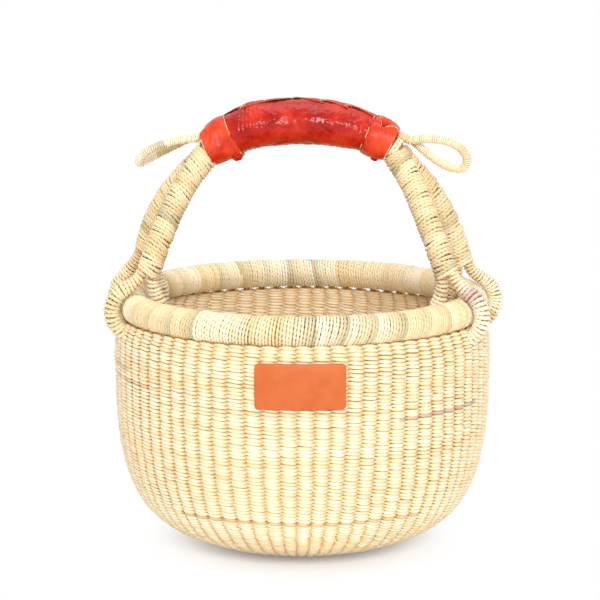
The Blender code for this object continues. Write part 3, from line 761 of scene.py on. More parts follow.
# %% [markdown]
# ## The handle's routes
#
# The handle is two hoops of wound straw, one in front of the other. They lie side by side
# in the grip, part below it, and each leg ends in a fork whose halves close round the rim.
# The routes are curves through a few real sizes, in the frame of the joint that the handle
# leans about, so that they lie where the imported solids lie.

# %% Handle sizes
JOINTS = {joint["name"]: joint for joint in frame["joints"]}
PIVOT = np.array(JOINTS["handle_lean"]["pos_m"])
PIVOT_AXIS = np.array(JOINTS["handle_lean"]["axis"])
PIVOT_DEPTH = -math.hypot(PIVOT[0], PIVOT[1])
BACKWARD = np.array([-PIVOT_AXIS[1], PIVOT_AXIS[0], 0])
HANDLE_AXES = np.array([PIVOT_AXIS, BACKWARD, UP])
HANDLE_RISE = 114.5 * MM
GRIP_MIDDLE = -2 * MM - PIVOT_DEPTH
LEG_RADIUS = 7.6 * MM
SHOULDER_SPAN = 58.5 * MM
SHOULDER_DROP = 16.5 * MM
SHOULDER_SLOPE = math.radians(50)
CROWN_PULL = 30 * MM
SHOULDER_PULL = 14 * MM
LEG_PULL = 20 * MM
FORK_PULL = 24 * MM
FORK_NECK = 3 * MM
SHOULDER_INSET = 1.7 * MM  # of a leg towards the handle's inside, below the cuff
INSET_SHARE = 0.09  # of the leg's way to where that is most
HOOP_OFFSET = LEG_RADIUS + 0.15 * MM
HOOP_CORE_RADIUS = 5.3 * MM
LEG_WRAP_START = 0.93  # share of the way from the crown to the shoulder
LEG_BOWS = {"front_left": 1.0 * MM, "front_right": -0.8 * MM, "back_left": 2.0 * MM, "back_right": 2.5 * MM}
HOOPS = {"front": -1, "back": 1}
SIDES = {"left": -1, "right": 1}
FEET = {  # side, degrees round the rim, rise of the fork, lean of the fork
    "front_left": (-1, -21, 23.0 * MM, 20),
    "front_right": (1, -23.3, 25.0 * MM, 20),
    "back_left": (-1, 8.5, 28.5 * MM, 11),
    "back_right": (1, 8.5, 22.5 * MM, 16),
}


# %% The handle's own frame and the grip's middle line
def from_handle(points):
    """Points of the handle's own frame, X along its pivot, as places on the basket."""
    return PIVOT + points @ HANDLE_AXES


def arch_line(place):
    """The middle line of the grip, from place -1 at the left shoulder to 1 at the right."""
    crown = np.array([0, 0, HANDLE_RISE])
    shoulder = np.array([SHOULDER_SPAN, 0, HANDLE_RISE - SHOULDER_DROP])
    back_up = np.array([-math.cos(SHOULDER_SLOPE), 0, math.sin(SHOULDER_SLOPE)]) * SHOULDER_PULL
    half = bezier(crown, crown + [CROWN_PULL, 0, 0], shoulder + back_up, shoulder, np.abs(place))
    return half * np.column_stack([np.sign(place), np.ones(len(place)), np.ones(len(place))])


def grip_line(hoop, first, last, steps):
    """A hoop's stretch inside the grip, between two places of the arch."""
    return arch_line(np.linspace(first, last, steps)) + [0, GRIP_MIDDLE + HOOPS[hoop] * HOOP_OFFSET, 0]


# %% Forks and legs' lines
def fork_frame(foot):
    """The middle of the rim at a foot, the way out from the bowl there, the fork and the way down."""
    side, angle, rise, lean = foot
    angle, lean = math.radians(angle), math.radians(lean)
    outward = np.array([side * math.cos(angle), math.sin(angle), 0])
    rim_middle = outward * RIM_RADIUS - [0, PIVOT_DEPTH, 0]
    down = outward * math.sin(lean) - UP * math.cos(lean)
    return rim_middle, outward, rim_middle - down * rise, down


def leg_line(hoop, side_name):
    """A leg's middle line, from its shoulder down to its fork."""
    side, name = SIDES[side_name], hoop + "_" + side_name
    shoulder = grip_line(hoop, side, side, 1)[0]
    leave = np.array([side * math.cos(SHOULDER_SLOPE), 0, -math.sin(SHOULDER_SLOPE)])
    inward = np.array([-side * math.sin(SHOULDER_SLOPE), 0, -math.cos(SHOULDER_SLOPE)]) * SHOULDER_INSET
    fork, down = fork_frame(FEET[name])[2:]
    neck = fork - down * FORK_NECK
    share = np.linspace(0, 1, 60)
    line = bezier(shoulder, shoulder + leave * LEG_PULL, neck - down * FORK_PULL, neck, share)
    line[:, 0] += side * LEG_BOWS[name] * np.sin(math.pi * share) ** 2
    inset = share / INSET_SHARE * np.exp(1 - share / INSET_SHARE)
    return np.vstack([line + inward * inset[:, None], [fork]])


# %% Legs
LEG_REACH = 7.9 * MM  # outside of the winding
LEG_PITCH = 2.15 * MM
LEG_STRAND = 1.36 * MM
LEG_SLANT = 0.65
LEG_TONE = 0.59
LEG_SPREAD = 0.02
LEG_TURN_POINTS = 28
LEG_SWELL = 1.08  # thickness under the cuff, against the rest of a leg
LEG_PROFILE = ((0, 1), (0.1, LEG_SWELL), (0.30, 1), (1, 1))  # share of a leg's way down, thickness

for hoop in HOOPS:
    legs = {side_name: leg_line(hoop, side_name) for side_name in SIDES}
    hoop_line = np.vstack([legs["left"][::-1], grip_line(hoop, -1, 1, 60)[1:-1], legs["right"]])
    add_bundle("hoop_bundle_" + hoop, from_handle(hoop_line), BACKWARD, HOOP_CORE_RADIUS, "handle",
               "hoop_core_" + hoop)
    for side_name, side in SIDES.items():
        name = hoop + "_" + side_name
        hidden = grip_line(hoop, side * LEG_WRAP_START, side, 12)[:-1]
        route = from_handle(np.vstack([hidden, legs[side_name]]))
        turns = wind(route, BACKWARD, LEG_REACH, LEG_PITCH, LEG_STRAND, profile=LEG_PROFILE, slant=LEG_SLANT,
                     slant_turn=side * math.pi / 2, turn_points=LEG_TURN_POINTS, tone=LEG_TONE,
                     spread=LEG_SPREAD)
        add_strands("leg_winding_" + name, turns, LEG_STRAND * PLY_SHARE, "straw", "handle",
                    "leg_wrap_" + name)

# %% [markdown]
# ## Rim loops
#
# Below the fork each half of a leg is a bundle of its own, wound with a strand of two
# plies twisted together. That gives the coarse ribs and the dark notches between them. The
# two plies are two tubes that turn round each other as they turn round the loop.

# %% Rim loops
LOOP_RADIUS = 5.3 * MM
LOOP_PITCH = 2.6 * MM
LOOP_STRAND = 1.40 * MM
BACK_LOOP_PITCH = 2.1 * MM
BACK_LOOP_STRAND = 1.15 * MM
LOOP_SLACK = 0.6 * MM  # between a loop and the rim
LOOP_LOW_SLACK = 1.5 * MM
LOOP_FORK_SHARE = 0.76
LOOP_OVERLAP = 4 * MM  # how far a half runs up into its leg
LOOP_SIDE_PULL = 8 * MM
LOOP_FORK_PULL = 4 * MM
LOOP_CORE_RADIUS = 3.4 * MM
LOOP_TURN_POINTS = 22
LOOP_PROFILE = ((0, LOOP_FORK_SHARE), (0.08, LOOP_FORK_SHARE), (0.2, 1), (0.8, 1),
                (0.92, LOOP_FORK_SHARE), (1, LOOP_FORK_SHARE))
LOOP_END_SHARE = 0.8  # how far apart the halves still are up in their leg
MAUVE_LOOP = "front_right"
MAUVE_PLACE = 0.80  # share of the way round that loop
MAUVE_REACH = 0.05
MAUVE_STAIN = 0.6


def loop_line(foot):
    """A rim loop's middle line: down the inner side, under the rim and up outside."""
    rim_middle, outward, fork, down = fork_frame(foot)
    rise, lean = foot[2], math.radians(foot[3])
    across = outward * math.cos(lean) + UP * math.sin(lean)
    parting = across * LOOP_RADIUS * LOOP_FORK_SHARE
    bend = ROLL_RADIUS + LOOP_SLACK + LOOP_RADIUS
    middle = rim_middle - UP * (LOOP_LOW_SLACK - LOOP_SLACK)
    half = math.acos(bend / rise)
    ring = np.linspace(math.pi / 2 + lean + half, math.pi / 2 + lean - half + 2 * math.pi, 60)[:, None]
    around = middle + (outward * np.cos(ring) + UP * np.sin(ring)) * bend
    travel = UP * np.cos(ring) - outward * np.sin(ring)
    share = np.linspace(0, 1, 16)
    inner = bezier(fork - parting, fork - parting + down * LOOP_FORK_PULL,
                   around[0] - travel[0] * LOOP_SIDE_PULL, around[0], share)
    outer = bezier(around[-1], around[-1] + travel[-1] * LOOP_SIDE_PULL,
                   fork + parting + down * LOOP_FORK_PULL, fork + parting, share)
    top = fork - down * LOOP_OVERLAP
    return np.vstack([[top - parting * LOOP_END_SHARE], inner[:-1], around, outer[1:],
                      [top + parting * LOOP_END_SHARE]])


def mauve_patch(share):
    """The stain of the one mauve straw, along its loop."""
    return MAUVE_STAIN * np.exp(-((share - MAUVE_PLACE) / MAUVE_REACH) ** 2)


for name, foot in FEET.items():
    normal = np.cross(UP, fork_frame(foot)[1]) @ HANDLE_AXES
    route = from_handle(loop_line(foot))
    front = name.startswith("front")
    pitch, radius = (LOOP_PITCH, LOOP_STRAND) if front else (BACK_LOOP_PITCH, BACK_LOOP_STRAND)
    turns = wind(route, normal, LOOP_RADIUS, pitch, radius, profile=LOOP_PROFILE,
                 turn_points=LOOP_TURN_POINTS, stain=mauve_patch if name == MAUVE_LOOP else None)
    add_strands("loop_winding_" + name, turns, radius * PLY_SHARE, "straw", "handle", "loop_wrap_" + name)
    add_bundle("loop_bundle_" + name, route, normal, LOOP_CORE_RADIUS, "handle", "loop_core_" + name)

# %% [markdown]
# ## Hanging loops
#
# Two small loops leave the cuffs for a hook or a tie. They are wound finely. Their ends
# are tucked in under the cuff.

# %% Hanging loops
HANGER_RADIUS = 2.8 * MM
HANGER_LENGTH = 38 * MM
HANGER_HALF_WIDTH = 11.5 * MM
HANGER_SHAPES = {  # droop, roll and upward bow
    "left": (math.radians(24), math.radians(17), 3 * MM),
    "right": (math.radians(24), math.radians(-62), 2 * MM),
}
HANGER_RAISE = 1.2 * MM  # of the root over its joint
HANGER_PITCH = 1.35 * MM
HANGER_STRAND = 0.72 * MM
HANGER_TONE = 0.70
HANGER_CORE = (2.6, 0.6)  # thickness against the strand round it, and tone
HANGER_TUCK = 9.0 * MM  # of each end in under the cuff
HANGER_PARTING = 0.3 * MM  # of each end from the middle, past where the two touch


def hanger_line(side, droop, roll, bow):
    """A hanging loop's middle line in the handle's frame, from its root at the origin."""
    along = np.array([side * math.cos(droop), 0, -math.sin(droop)])
    upward = np.array([side * math.sin(droop), 0, math.cos(droop)])
    across = np.array(Matrix.Rotation(roll, 3, Vector(along)) @ Vector((0, 1, 0)))
    turn = np.linspace(0, 2 * math.pi, 80)[:, None]
    near_end, swing = np.cos(turn / 2), np.sin(turn / 2)
    line = (along * HANGER_LENGTH * (1 - np.cos(turn)) / 2 + across * np.sin(turn) * swing * HANGER_HALF_WIDTH
            + np.array([0, 1, 0]) * near_end * (HANGER_RADIUS + HANGER_PARTING)
            + upward * (HANGER_RAISE + bow * swing * np.abs(near_end) * 2))
    tucked = line[:1] - along * HANGER_TUCK * np.linspace(1, 0.15, 6)[:, None]
    other = tucked[::-1] + line[-1] - line[0]
    return np.vstack([tucked, line, other]), along, np.cross(along, across)


for side_name, side in SIDES.items():
    root = np.array(JOINTS[side_name + "_loop_bend"]["pos_m"])
    line, along, normal = hanger_line(side, *HANGER_SHAPES[side_name])
    along, normal = along @ HANDLE_AXES, normal @ HANDLE_AXES
    route = root + line @ HANDLE_AXES
    turns = wind(route, normal, HANGER_RADIUS, HANGER_PITCH, HANGER_STRAND, turn_points=12,
                 tone=HANGER_TONE, plies=1)
    hanger = add_strands("hanging_loop_winding_" + side_name, turns + [strand(route, *HANGER_CORE)],
                         HANGER_STRAND, "straw", None, "hanging_loop_" + side_name)
    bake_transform(hanger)

# %% [markdown]
# ## Leather
#
# The grip is goat leather: thin, glazed red, drawn tight while it was damp, so it is
# pebbled all over and creased round the bend. Its colour is darker along the creases and
# lighter between them. The cut edges show the pale flesh side. The label is plain
# vegetable-tanned cowhide, smooth and tan. All are glossy but uneven, so the light breaks
# up into small patches, which takes relief at the size of the real grain.

# %% Leather materials
GRAIN = 1.8 * MM  # pebbles, drawn about twice as coarse as they are so that they show
CREASE_WIDTH = 1.1 * MM
CREASE_LENGTH = 7 * MM
PATCH = 12 * MM


def leather_material(name, dark, middle, light, roughness, relief, creases):
    """Glazed leather: patchy colour, pebbled grain, and creases that run round the handle."""
    material = bpy.data.materials.new(name)
    node = node_adder(material)
    place = node("TexCoord").outputs["Object"]
    patches = node("TexNoise", {"Vector": place, "Scale": 1 / PATCH, "Detail": 3})
    grain = node("TexVoronoi", {"Vector": place, "Scale": 1 / GRAIN}, feature="SMOOTH_F1")
    stretched = node("Mapping", {
        "Vector": place, "Scale": (1 / CREASE_WIDTH, 1 / CREASE_LENGTH, 1 / CREASE_LENGTH)})
    lines = node("TexNoise", {"Vector": stretched, "Scale": 1, "Detail": 2, "Distortion": 0.6})
    mixed = node("MixRGB", {"Fac": creases, "Color1": patches, "Color2": lines})
    ramp = node("ValToRGB", {"Fac": mixed})
    set_ramp(ramp, [(0.34, dark), (0.5, middle), (0.68, light)])
    wear = node("MapRange", {
        "Value": patches, "From Min": 0.3, "From Max": 0.7,
        "To Min": roughness - 0.08, "To Max": roughness + 0.10})
    creased = node("Bump", {"Strength": creases, "Distance": 0.5 * MM, "Height": lines})
    pebbled = node("Bump", {
        "Strength": relief, "Distance": 0.4 * MM, "Height": grain.outputs["Distance"], "Normal": creased},
        invert=True)
    shader = node("BsdfPrincipled", {
        "Base Color": ramp, "Roughness": wear, "IOR": 1.33, "Normal": pebbled})
    node("OutputMaterial", {"Surface": shader})
    return material


red_leather = leather_material("glazed_goat_leather", "#980E02", "#AE1804", "#C63014", 0.27, 0.5, 0.10)
cuff_leather = leather_material("stretched_goat_leather", "#BC240A", "#D03C16", "#DE5026", 0.38, 0.25, 0.25)
# Painted highlight: the flaps are the grip's own leather, coloured lighter for the sheen on their tops.
seam_leather_painted_light = leather_material("folded_goat_leather_painted_light", "#9C180A", "#BE3018", "#CC4830", 0.45, 0.3, 0.3)
tan_leather = leather_material("tanned_cowhide", "#BE5C2C", "#C4622F", "#C86632", 0.48, 0.10, 0.05)


# %% Edges, cloth and thong
def plain_fibre_material(name, dark, light, scale, roughness):
    """A matt fibrous surface in two colours, such as a cut edge, a thong or cloth."""
    material = bpy.data.materials.new(name)
    node = node_adder(material)
    place = node("TexCoord").outputs["Object"]
    fibres = node("TexNoise", {"Vector": place, "Scale": 1 / scale, "Detail": 3})
    ramp = node("ValToRGB", {"Fac": fibres})
    set_ramp(ramp, [(0.35, dark), (0.65, light)])
    fuzz = node("Bump", {"Strength": 0.5, "Distance": 0.1 * MM, "Height": fibres})
    shader = node("BsdfPrincipled", {
        "Base Color": ramp, "Roughness": roughness, "IOR": 1.45, "Normal": fuzz})
    node("OutputMaterial", {"Surface": shader})
    return material


raw_edge = plain_fibre_material("cut_leather_edge", "#B5552F", "#DD9C68", 1.2 * MM, 0.8)
# Painted shade: the flaps' edges are coloured dark for the shadow line under them.
edge_with_painted_shade = plain_fibre_material("leather_edge_painted_shade", "#8C2410", "#C06A40", 1.2 * MM, 0.7)
padding_cloth = plain_fibre_material("wound_cotton_cloth", "#B3A68A", "#D2C6AA", 0.8 * MM, 0.9)
strand_looks["thread"] = plain_fibre_material("rawhide_thong", "#CF9A68", "#E8C29A", 1.5 * MM, 0.55)
print("leather", [look.name for look in (red_leather, cuff_leather, seam_leather_painted_light, tan_leather)])

# %% [markdown]
# ## Sheets bent into sleeves
#
# Leather is a sheet, so each piece starts as a flat grid, the way it would be cut. A rule
# carries every corner of the grid to its place on the handle, with the lumps and folds
# already in it, and Solidify gives the sheet its thickness, inwards for all but the small
# flaps. The edge faces that Solidify makes take a second material: the pale cut edge, or
# on the flaps a dark edge that is painted shade.


# %% Sheets
def lumps(points, length, size, start=0.0):
    """A random swelling at each point, smooth over a length."""
    seed = Vector((start, 0, 0))
    return np.array([noise.noise(Vector(point) / length + seed) for point in points]) * size


def add_sheet(name, cuts, rule, thickness, nodes, materials, side=-1):
    """A flat grid, its corners 0 to 1 both ways, bent by a rule of (u, v) into a piece of the handle."""
    sheet = bmesh.new()
    bmesh.ops.create_grid(sheet, x_segments=cuts[0], y_segments=cuts[1], size=0.5)
    flat = np.clip(np.array([tuple(vert.co) for vert in sheet.verts])[:, :2] + 0.5, 0, 1)
    for vert, place in zip(sheet.verts, rule(flat[:, 0], flat[:, 1])):
        vert.co = place
    bmesh.ops.remove_doubles(sheet, verts=sheet.verts, dist=0.01 * MM)
    bmesh.ops.recalc_face_normals(sheet, faces=sheet.faces)
    highest = max(sheet.faces, key=lambda face: face.calc_center_median().z)
    if highest.normal.z < 0:
        bmesh.ops.reverse_faces(sheet, faces=sheet.faces)
    guide = new_object(name + "_guide", finished_mesh(sheet, name, *materials))
    shell = guide.modifiers.new("thickness", "SOLIDIFY")
    shell.thickness = thickness
    shell.offset = side
    shell.use_rim = True
    shell.use_even_offset = True
    shell.material_offset_rim = 1
    add_piece(name, made_mesh(guide, name), "handle", nodes)


# %% [markdown]
# ## The grip
#
# The leather goes once round the two hoops and their packing. The photograph shows it
# fullest left of the middle and slimmer to the right, where it also sags a little. The
# wrinkles run round it, close together at the left end where the leather was gathered.

# %% Grip
GRIP_REACH_SHARE = 0.72  # of the way from the crown to the shoulder
GRIP_HALF_HEIGHTS = ((-0.72, 12.6 * MM), (-0.6, 13.2 * MM), (-0.4, 14.1 * MM), (0, 14.25 * MM),
                     (0.2, 13.9 * MM), (0.42, 12.9 * MM), (0.55, 12.0 * MM), (0.72, 11.6 * MM))
GRIP_HALF_WIDTH = 16.6 * MM
GRIP_WIDTH_SHARES = ((0, 1), (0.45, 1), (0.72, 0.92))
GRIP_SAGS = ((-0.72, 2.2 * MM), (-0.6, 1.7 * MM), (-0.4, 0.2 * MM), (0, 0), (0.25, 0.6 * MM),
             (0.5, 1.3 * MM), (0.72, 1.3 * MM))
GRIP_LUMPS = ((17 * MM, 0.7 * MM, 0), (5 * MM, 0.45 * MM, 5), (2.5 * MM, 0.30 * MM, 7))  # length, size, start
LEATHER_THICKNESS = 1.2 * MM
WRINKLE_PLACE = -0.46
WRINKLE_REACH = 0.07
WRINKLE_LENGTH = 2.4 * MM
WRINKLE_SIZE = 0.25 * MM


def arch_frame(place):
    """Points of the grip's middle line, and the way up that is square to it."""
    ahead = unit(arch_line(place + 0.01) - arch_line(place - 0.01))
    return arch_line(place), np.column_stack([-ahead[:, 2], np.zeros(len(place)), ahead[:, 0]])


def grip_surface(place, angle, lift=0.0):
    """Places on the grip: along the arch, and round it from the top, with plus to the back."""
    here, upward = arch_frame(place)
    half_height = np.interp(place, *zip(*GRIP_HALF_HEIGHTS)) + lift
    half_width = GRIP_HALF_WIDTH * np.interp(np.abs(place), *zip(*GRIP_WIDTH_SHARES)) + lift
    sag = np.interp(place, *zip(*GRIP_SAGS))
    points = here + upward * (half_height * np.cos(angle) - sag)[:, None]
    points[:, 1] += GRIP_MIDDLE + half_width * np.sin(angle)
    return from_handle(points)


def grip_leather(u, v):
    """The grip's skin with its lumps and wrinkles."""
    place, angle = (2 * u - 1) * GRIP_REACH_SHARE, 2 * math.pi * v
    smooth = grip_surface(place, angle)
    gathered = np.exp(-((place - WRINKLE_PLACE) / WRINKLE_REACH) ** 2)
    wave = np.sin(smooth[:, 0] / WRINKLE_LENGTH * 2 * math.pi + lumps(smooth, 9 * MM, 4))
    lift = (sum(lumps(smooth, length, size, start) for length, size, start in GRIP_LUMPS)
            + lumps(smooth * [1, 0.3, 0.3], 1.9 * MM, 0.08 * MM, 9) + gathered * wave * WRINKLE_SIZE)
    return grip_surface(place, angle, lift)


add_sheet("leather_sleeve", (260, 120), grip_leather, LEATHER_THICKNESS, ["leather_grip"],
          [red_leather, raw_edge])

# %% Packing under the grip
CLOTH_THICKNESS = 1.2 * MM
CLOTH_STRIP = 9 * MM  # of cloth from one turn to the next
CLOTH_LAP = 0.3 * MM  # how far a turn rises over the one before
CLOTH_DEPTH = 0.9 * MM  # under the leather
CLOTH_REACH_SHARE = 0.98  # of the leather's length


def packing(u, v):
    """Strips of cloth wound on under the leather, each turn lapping over the one before."""
    place, angle = (2 * u - 1) * GRIP_REACH_SHARE * CLOTH_REACH_SHARE, 2 * math.pi * v
    smooth = grip_surface(place, angle)
    lap = (smooth[:, 0] / CLOTH_STRIP + angle / 2 / math.pi) % 1
    return grip_surface(place, angle, -LEATHER_THICKNESS - CLOTH_DEPTH + CLOTH_LAP * lap)


add_sheet("cloth_packing", (120, 48), packing, CLOTH_THICKNESS, ["grip_padding"], [padding_cloth])

# %% [markdown]
# ## The seam
#
# The leather's two edges meet behind the top of the grip. They are folded into narrow
# flaps that lap over each other like tiles, and pale thong holds them: a short stitch at
# every lap, and whipping along the back edge. Each flap is a small bent sheet of its own.

# %% Seam
FLAPS = (  # first and last place, front edge there in degrees behind the top
    (-0.66, -0.445, 8, -17),
    (-0.455, -0.25, -26, -13),
    (-0.26, -0.04, -14, 10),
    (-0.05, 0.15, 2, -25),
    (0.14, 0.345, -9, -27),
    (0.335, 0.60, -5, -21),
)
FLAP_BACK = 36  # degrees behind the top, of every flap's back edge
FLAP_THICKNESS = 0.5 * MM
FLAP_RISE = 0.3 * MM  # of a flap's middle over its edges
FLAP_LAP = 0.25 * MM  # of its first end over the flap before
FLAP_CLEARANCE = 0.2 * MM


def flap_place(first, last, front_first, front_last, u, v):
    """Places on one flap along the grip's top."""
    place = first + (last - first) * u
    front = front_first + (front_last - front_first) * u ** 1.3
    angle = np.radians(front + (FLAP_BACK - front) * v)
    ridge = np.sin(math.pi * v) ** 0.7 * FLAP_RISE + FLAP_LAP * (1 - u)
    rough = lumps(grip_surface(place, angle), 5 * MM, 0.25 * MM)
    return grip_surface(place, angle, FLAP_CLEARANCE + ridge + rough)


for number, flap in enumerate(FLAPS, 1):
    add_sheet("seam_flap_" + str(number), (26, 12), partial(flap_place, *flap), FLAP_THICKNESS,
              ["grip_seam"], [seam_leather_painted_light, edge_with_painted_shade], side=1)

# %% Thong along the seam
THONG_RADIUS = 0.28 * MM
WHIP_PITCH = 5.5 * MM
WHIP_ENDS = (-0.60, 0.58)
STITCHES = ((-0.45, -22), (-0.25, -12), (-0.045, 0), (0.145, -17), (0.34, -19))  # place, degrees


def thong_line(surface, ends, steps=14, tuck=0.5 * MM, lift=0.45 * MM):
    """A thong on a surface between two (place, degrees), its ends sunk in."""
    share = np.linspace(0, 1, steps)
    place = ends[0][0] + (ends[1][0] - ends[0][0]) * share
    angle = np.radians(ends[0][1] + (ends[1][1] - ends[0][1]) * share)
    rise = lift - (tuck + lift) * np.abs(2 * share - 1) ** 8
    return strand(surface(place, angle, rise), 1)


def over_flaps(place, angle, lift):
    """Places on top of the flaps."""
    return grip_surface(place, angle, lift + FLAP_THICKNESS + FLAP_RISE)


thongs = [thong_line(over_flaps, ((place - 0.022, front + 1), (place + 0.028, front + 9)))
          for place, front in STITCHES]
thongs += [thong_line(over_flaps, ((place, FLAP_BACK - 6), (place + 0.02, FLAP_BACK + 9)), lift=0.3 * MM)
           for place in np.arange(*WHIP_ENDS, WHIP_PITCH / SHOULDER_SPAN)]
add_strands("seam_thong", thongs, THONG_RADIUS, "thread", "handle", "grip_lace")

# %% [markdown]
# ## Cuffs
#
# A softer, brighter strip of leather is wrapped round each end of the grip, over the legs
# and the roots of the small loops. Each cuff is given by where its upper and lower sides
# run, at its inner edge, its middle and its outer edge, because the two aren't alike.

# %% Cuffs
CUFF_SIDES = {  # x and height of the upper side, then of the lower, along the cuff
    "left": ((49.0, 118.3, 36.6, 92.8), (57.3, 115.0, 45.8, 90.2), (64.0, 107.7, 54.4, 87.6)),
    "right": ((46.4, 118.7, 36.4, 95.4), (55.4, 116.4, 44.1, 92.3), (61.5, 110.3, 51.2, 91.2)),
}
CUFF_HALF_WIDTHS = (16.5 * MM, 17.1 * MM)
CUFF_SQUARENESS = 1.5  # of a cuff's outer end, which holds two legs side by side
CUFF_THICKNESS = 1.0 * MM
PUCKER = (0.40, math.radians(-41))  # where the right cuff's thongs draw it in
PUCKER_WIDTHS = (0.12, 0.17)  # along the cuff, and in radians round it
PUCKER_DEPTH = 4.4 * MM
PUCKER_RIDGE = 1.2 * MM


def cuff_surface(side_name, u, angle, lift=0.0):
    """Places on a cuff: u from its inner edge to its outer, angle from the top, with plus to the back."""
    side = SIDES[side_name]
    weights = ((1 - u) * (1 - 2 * u), 4 * u * (1 - u), u * (2 * u - 1))
    rows = sum(weight[:, None] * np.array(row) * MM for weight, row in zip(weights, CUFF_SIDES[side_name]))
    upper = np.column_stack([side * rows[:, 0], 0 * u, rows[:, 1]])
    lower = np.column_stack([side * rows[:, 2], 0 * u, rows[:, 3]])
    middle, half = (upper + lower) / 2, (upper - lower) / 2
    half = half * (1 + lift / np.linalg.norm(half, axis=1))[:, None]
    half_width = CUFF_HALF_WIDTHS[0] + (CUFF_HALF_WIDTHS[1] - CUFF_HALF_WIDTHS[0]) * u + lift
    power = 2 / (2 + CUFF_SQUARENESS * np.clip(u, 0, 1))
    upright, sideways = [np.sign(part) * np.abs(part) ** power for part in (np.cos(angle), np.sin(angle))]
    points = middle + half * upright[:, None]
    points[:, 1] += GRIP_MIDDLE + half_width * sideways
    return from_handle(points)


def cuff_place(side_name, u, v):
    """Places on one cuff with its folds."""
    angle = 2 * math.pi * v
    smooth = cuff_surface(side_name, u, angle)
    u = u + lumps(smooth * [0.2, 1, 1], 6 * MM, 0.05) * (2 * u - 1)
    drawn_in = np.exp(-(u / 0.05) ** 2) * 0.35 * MM
    lift = (lumps(smooth, 9 * MM, 0.9 * MM, 3) + lumps(smooth * [1, 0.35, 0.35], 2.6 * MM, 0.32 * MM)
            - drawn_in)
    if side_name == "right":
        turn = (angle - PUCKER[1] + math.pi) % (2 * math.pi) - math.pi
        away = np.hypot((u - PUCKER[0]) / PUCKER_WIDTHS[0], turn / PUCKER_WIDTHS[1])
        beside = np.exp(-((away - 2.2) / 0.9) ** 2) * (turn > 0)
        lift = lift - PUCKER_DEPTH * np.exp(-away ** 2) + PUCKER_RIDGE * beside
    return cuff_surface(side_name, u, angle, lift)


for side_name in SIDES:
    add_sheet("leather_wrap_" + side_name, (70, 120), partial(cuff_place, side_name), CUFF_THICKNESS,
              ["leather_cuff_" + side_name], [cuff_leather, raw_edge])

# %% Thong round the cuffs
CUFF_THONGS = {  # stretches of thong, each from (u, degrees) to (u, degrees)
    "left": (((0.02, -80), (0.0, 150)), ((-0.02, -158), (0.0, -140))),
    "right": (((-0.03, -96), (-0.04, -60)), ((-0.04, -28), (0.0, 10)), ((0.0, 5), (-0.02, 150)),
              ((-0.05, -135), (-0.05, -118)), ((0.05, 4), (0.30, -52)), ((0.46, -53), (0.97, -22)),
              ((0.98, -85), (0.99, -150))),
}

for side_name, stretches in CUFF_THONGS.items():
    surface = partial(cuff_surface, side_name)
    thongs = [thong_line(surface, ends, steps=40, tuck=0.8 * MM, lift=0.5 * MM) for ends in stretches]
    add_strands("cuff_thong_" + side_name, thongs, THONG_RADIUS, "thread", "handle",
                "cuff_thread_" + side_name)

# %% Knots under the cuffs
KNOTS = {"left": (0.15, -155, 4.0 * MM), "right": (0.62, -168, 2.2 * MM)}  # u, degrees, radius
KNOT_STRETCH = (1.15, 1.1, 0.85)
KNOT_FOLDS = ((1.6, 0.45), (4, 0.2))  # how close the folds are, and how deep
KNOT_SINK = 0.35  # of its middle under the cuff's surface, against its radius


def knot_mesh(middle, radius):
    """A crumpled end of leather strip: a ball, folded in by noise."""
    ball = bmesh.new()
    bmesh.ops.create_icosphere(ball, subdivisions=4, radius=1)
    for vert in ball.verts:
        fold = 1 + sum(depth * noise.noise(vert.co * close) for close, depth in KNOT_FOLDS)
        vert.co = Vector(middle) + Vector([c * s for c, s in zip(vert.co, KNOT_STRETCH)]) * radius * fold
    return finished_mesh(ball, "knot", red_leather)


for side_name, (u, degrees, radius) in KNOTS.items():
    middle = cuff_surface(side_name, np.array([u]), np.radians([degrees]), -KNOT_SINK * radius)[0]
    add_piece("cuff_knot_" + side_name, knot_mesh(middle, radius), "handle", [])

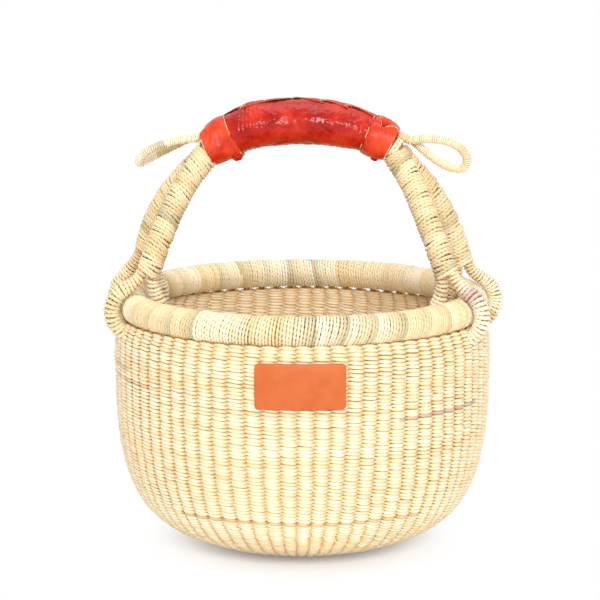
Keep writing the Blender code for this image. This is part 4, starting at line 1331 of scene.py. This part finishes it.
# %% [markdown]
# ## The label
#
# A small rectangle of tan leather with rounded corners is fixed to the front of the wall
# and bends with it. It starts as a cube, gets its corners and edges from bevels and enough
# cuts to bend, and then every point is laid on the wall's outline.

# %% Label
LABEL_WIDTH = 54 * MM
LABEL_HEIGHT = 27.5 * MM
LABEL_THICKNESS = 1.5 * MM
LABEL_CORNER = 2.5 * MM
LABEL_EDGE = 0.3 * MM
LABEL_DROP = 31 * MM
LABEL_SHIFT = -1.3 * MM
LABEL_GAP = 0.2 * MM
LABEL_CUT = 3 * MM


def bevel(shape, edges, offset, segments):
    """Rounds edges of a bmesh."""
    bmesh.ops.bevel(shape, geom=edges, offset=offset, segments=segments, profile=0.5, affect="EDGES",
                    material=-1)


label = bmesh.new()
bmesh.ops.create_cube(label, size=1)
bmesh.ops.scale(label, verts=label.verts, vec=(LABEL_WIDTH, LABEL_THICKNESS, LABEL_HEIGHT))
corners = [edge for edge in label.edges if abs(edge.verts[0].co.y - edge.verts[1].co.y) > LABEL_EDGE]
bevel(label, corners, LABEL_CORNER, 6)
label.normal_update()
front = [edge for edge in label.edges
         if all(vert.co.y < 0 for vert in edge.verts) and len(edge.link_faces) == 2
         and abs(edge.link_faces[0].normal.y - edge.link_faces[1].normal.y) > 0.5]
bevel(label, front, LABEL_EDGE, 3)
for normal, length in (((1, 0, 0), LABEL_WIDTH), ((0, 0, 1), LABEL_HEIGHT)):
    for step in np.arange(-length / 2 + LABEL_CUT, length / 2 - LABEL_CUT / 2, LABEL_CUT):
        geometry = label.verts[:] + label.edges[:] + label.faces[:]
        bmesh.ops.bisect_plane(label, geom=geometry, plane_co=Vector(normal) * step, plane_no=normal)
upper_wall = outside[:OUTLINE_POINTS // 2]
for vert in label.verts:
    height = RIM_HEIGHT - LABEL_DROP + vert.co.z
    radius = np.interp(-height, -upper_wall[:, 1], upper_wall[:, 0])
    radius += LABEL_GAP + LABEL_THICKNESS / 2 - vert.co.y
    turn = (vert.co.x + LABEL_SHIFT) / BODY_RADIUS
    vert.co = (radius * math.sin(turn), -radius * math.cos(turn), height)
add_piece("label_patch", finished_mesh(label, "label_patch", tan_leather), "bowl", ["leather_label"])
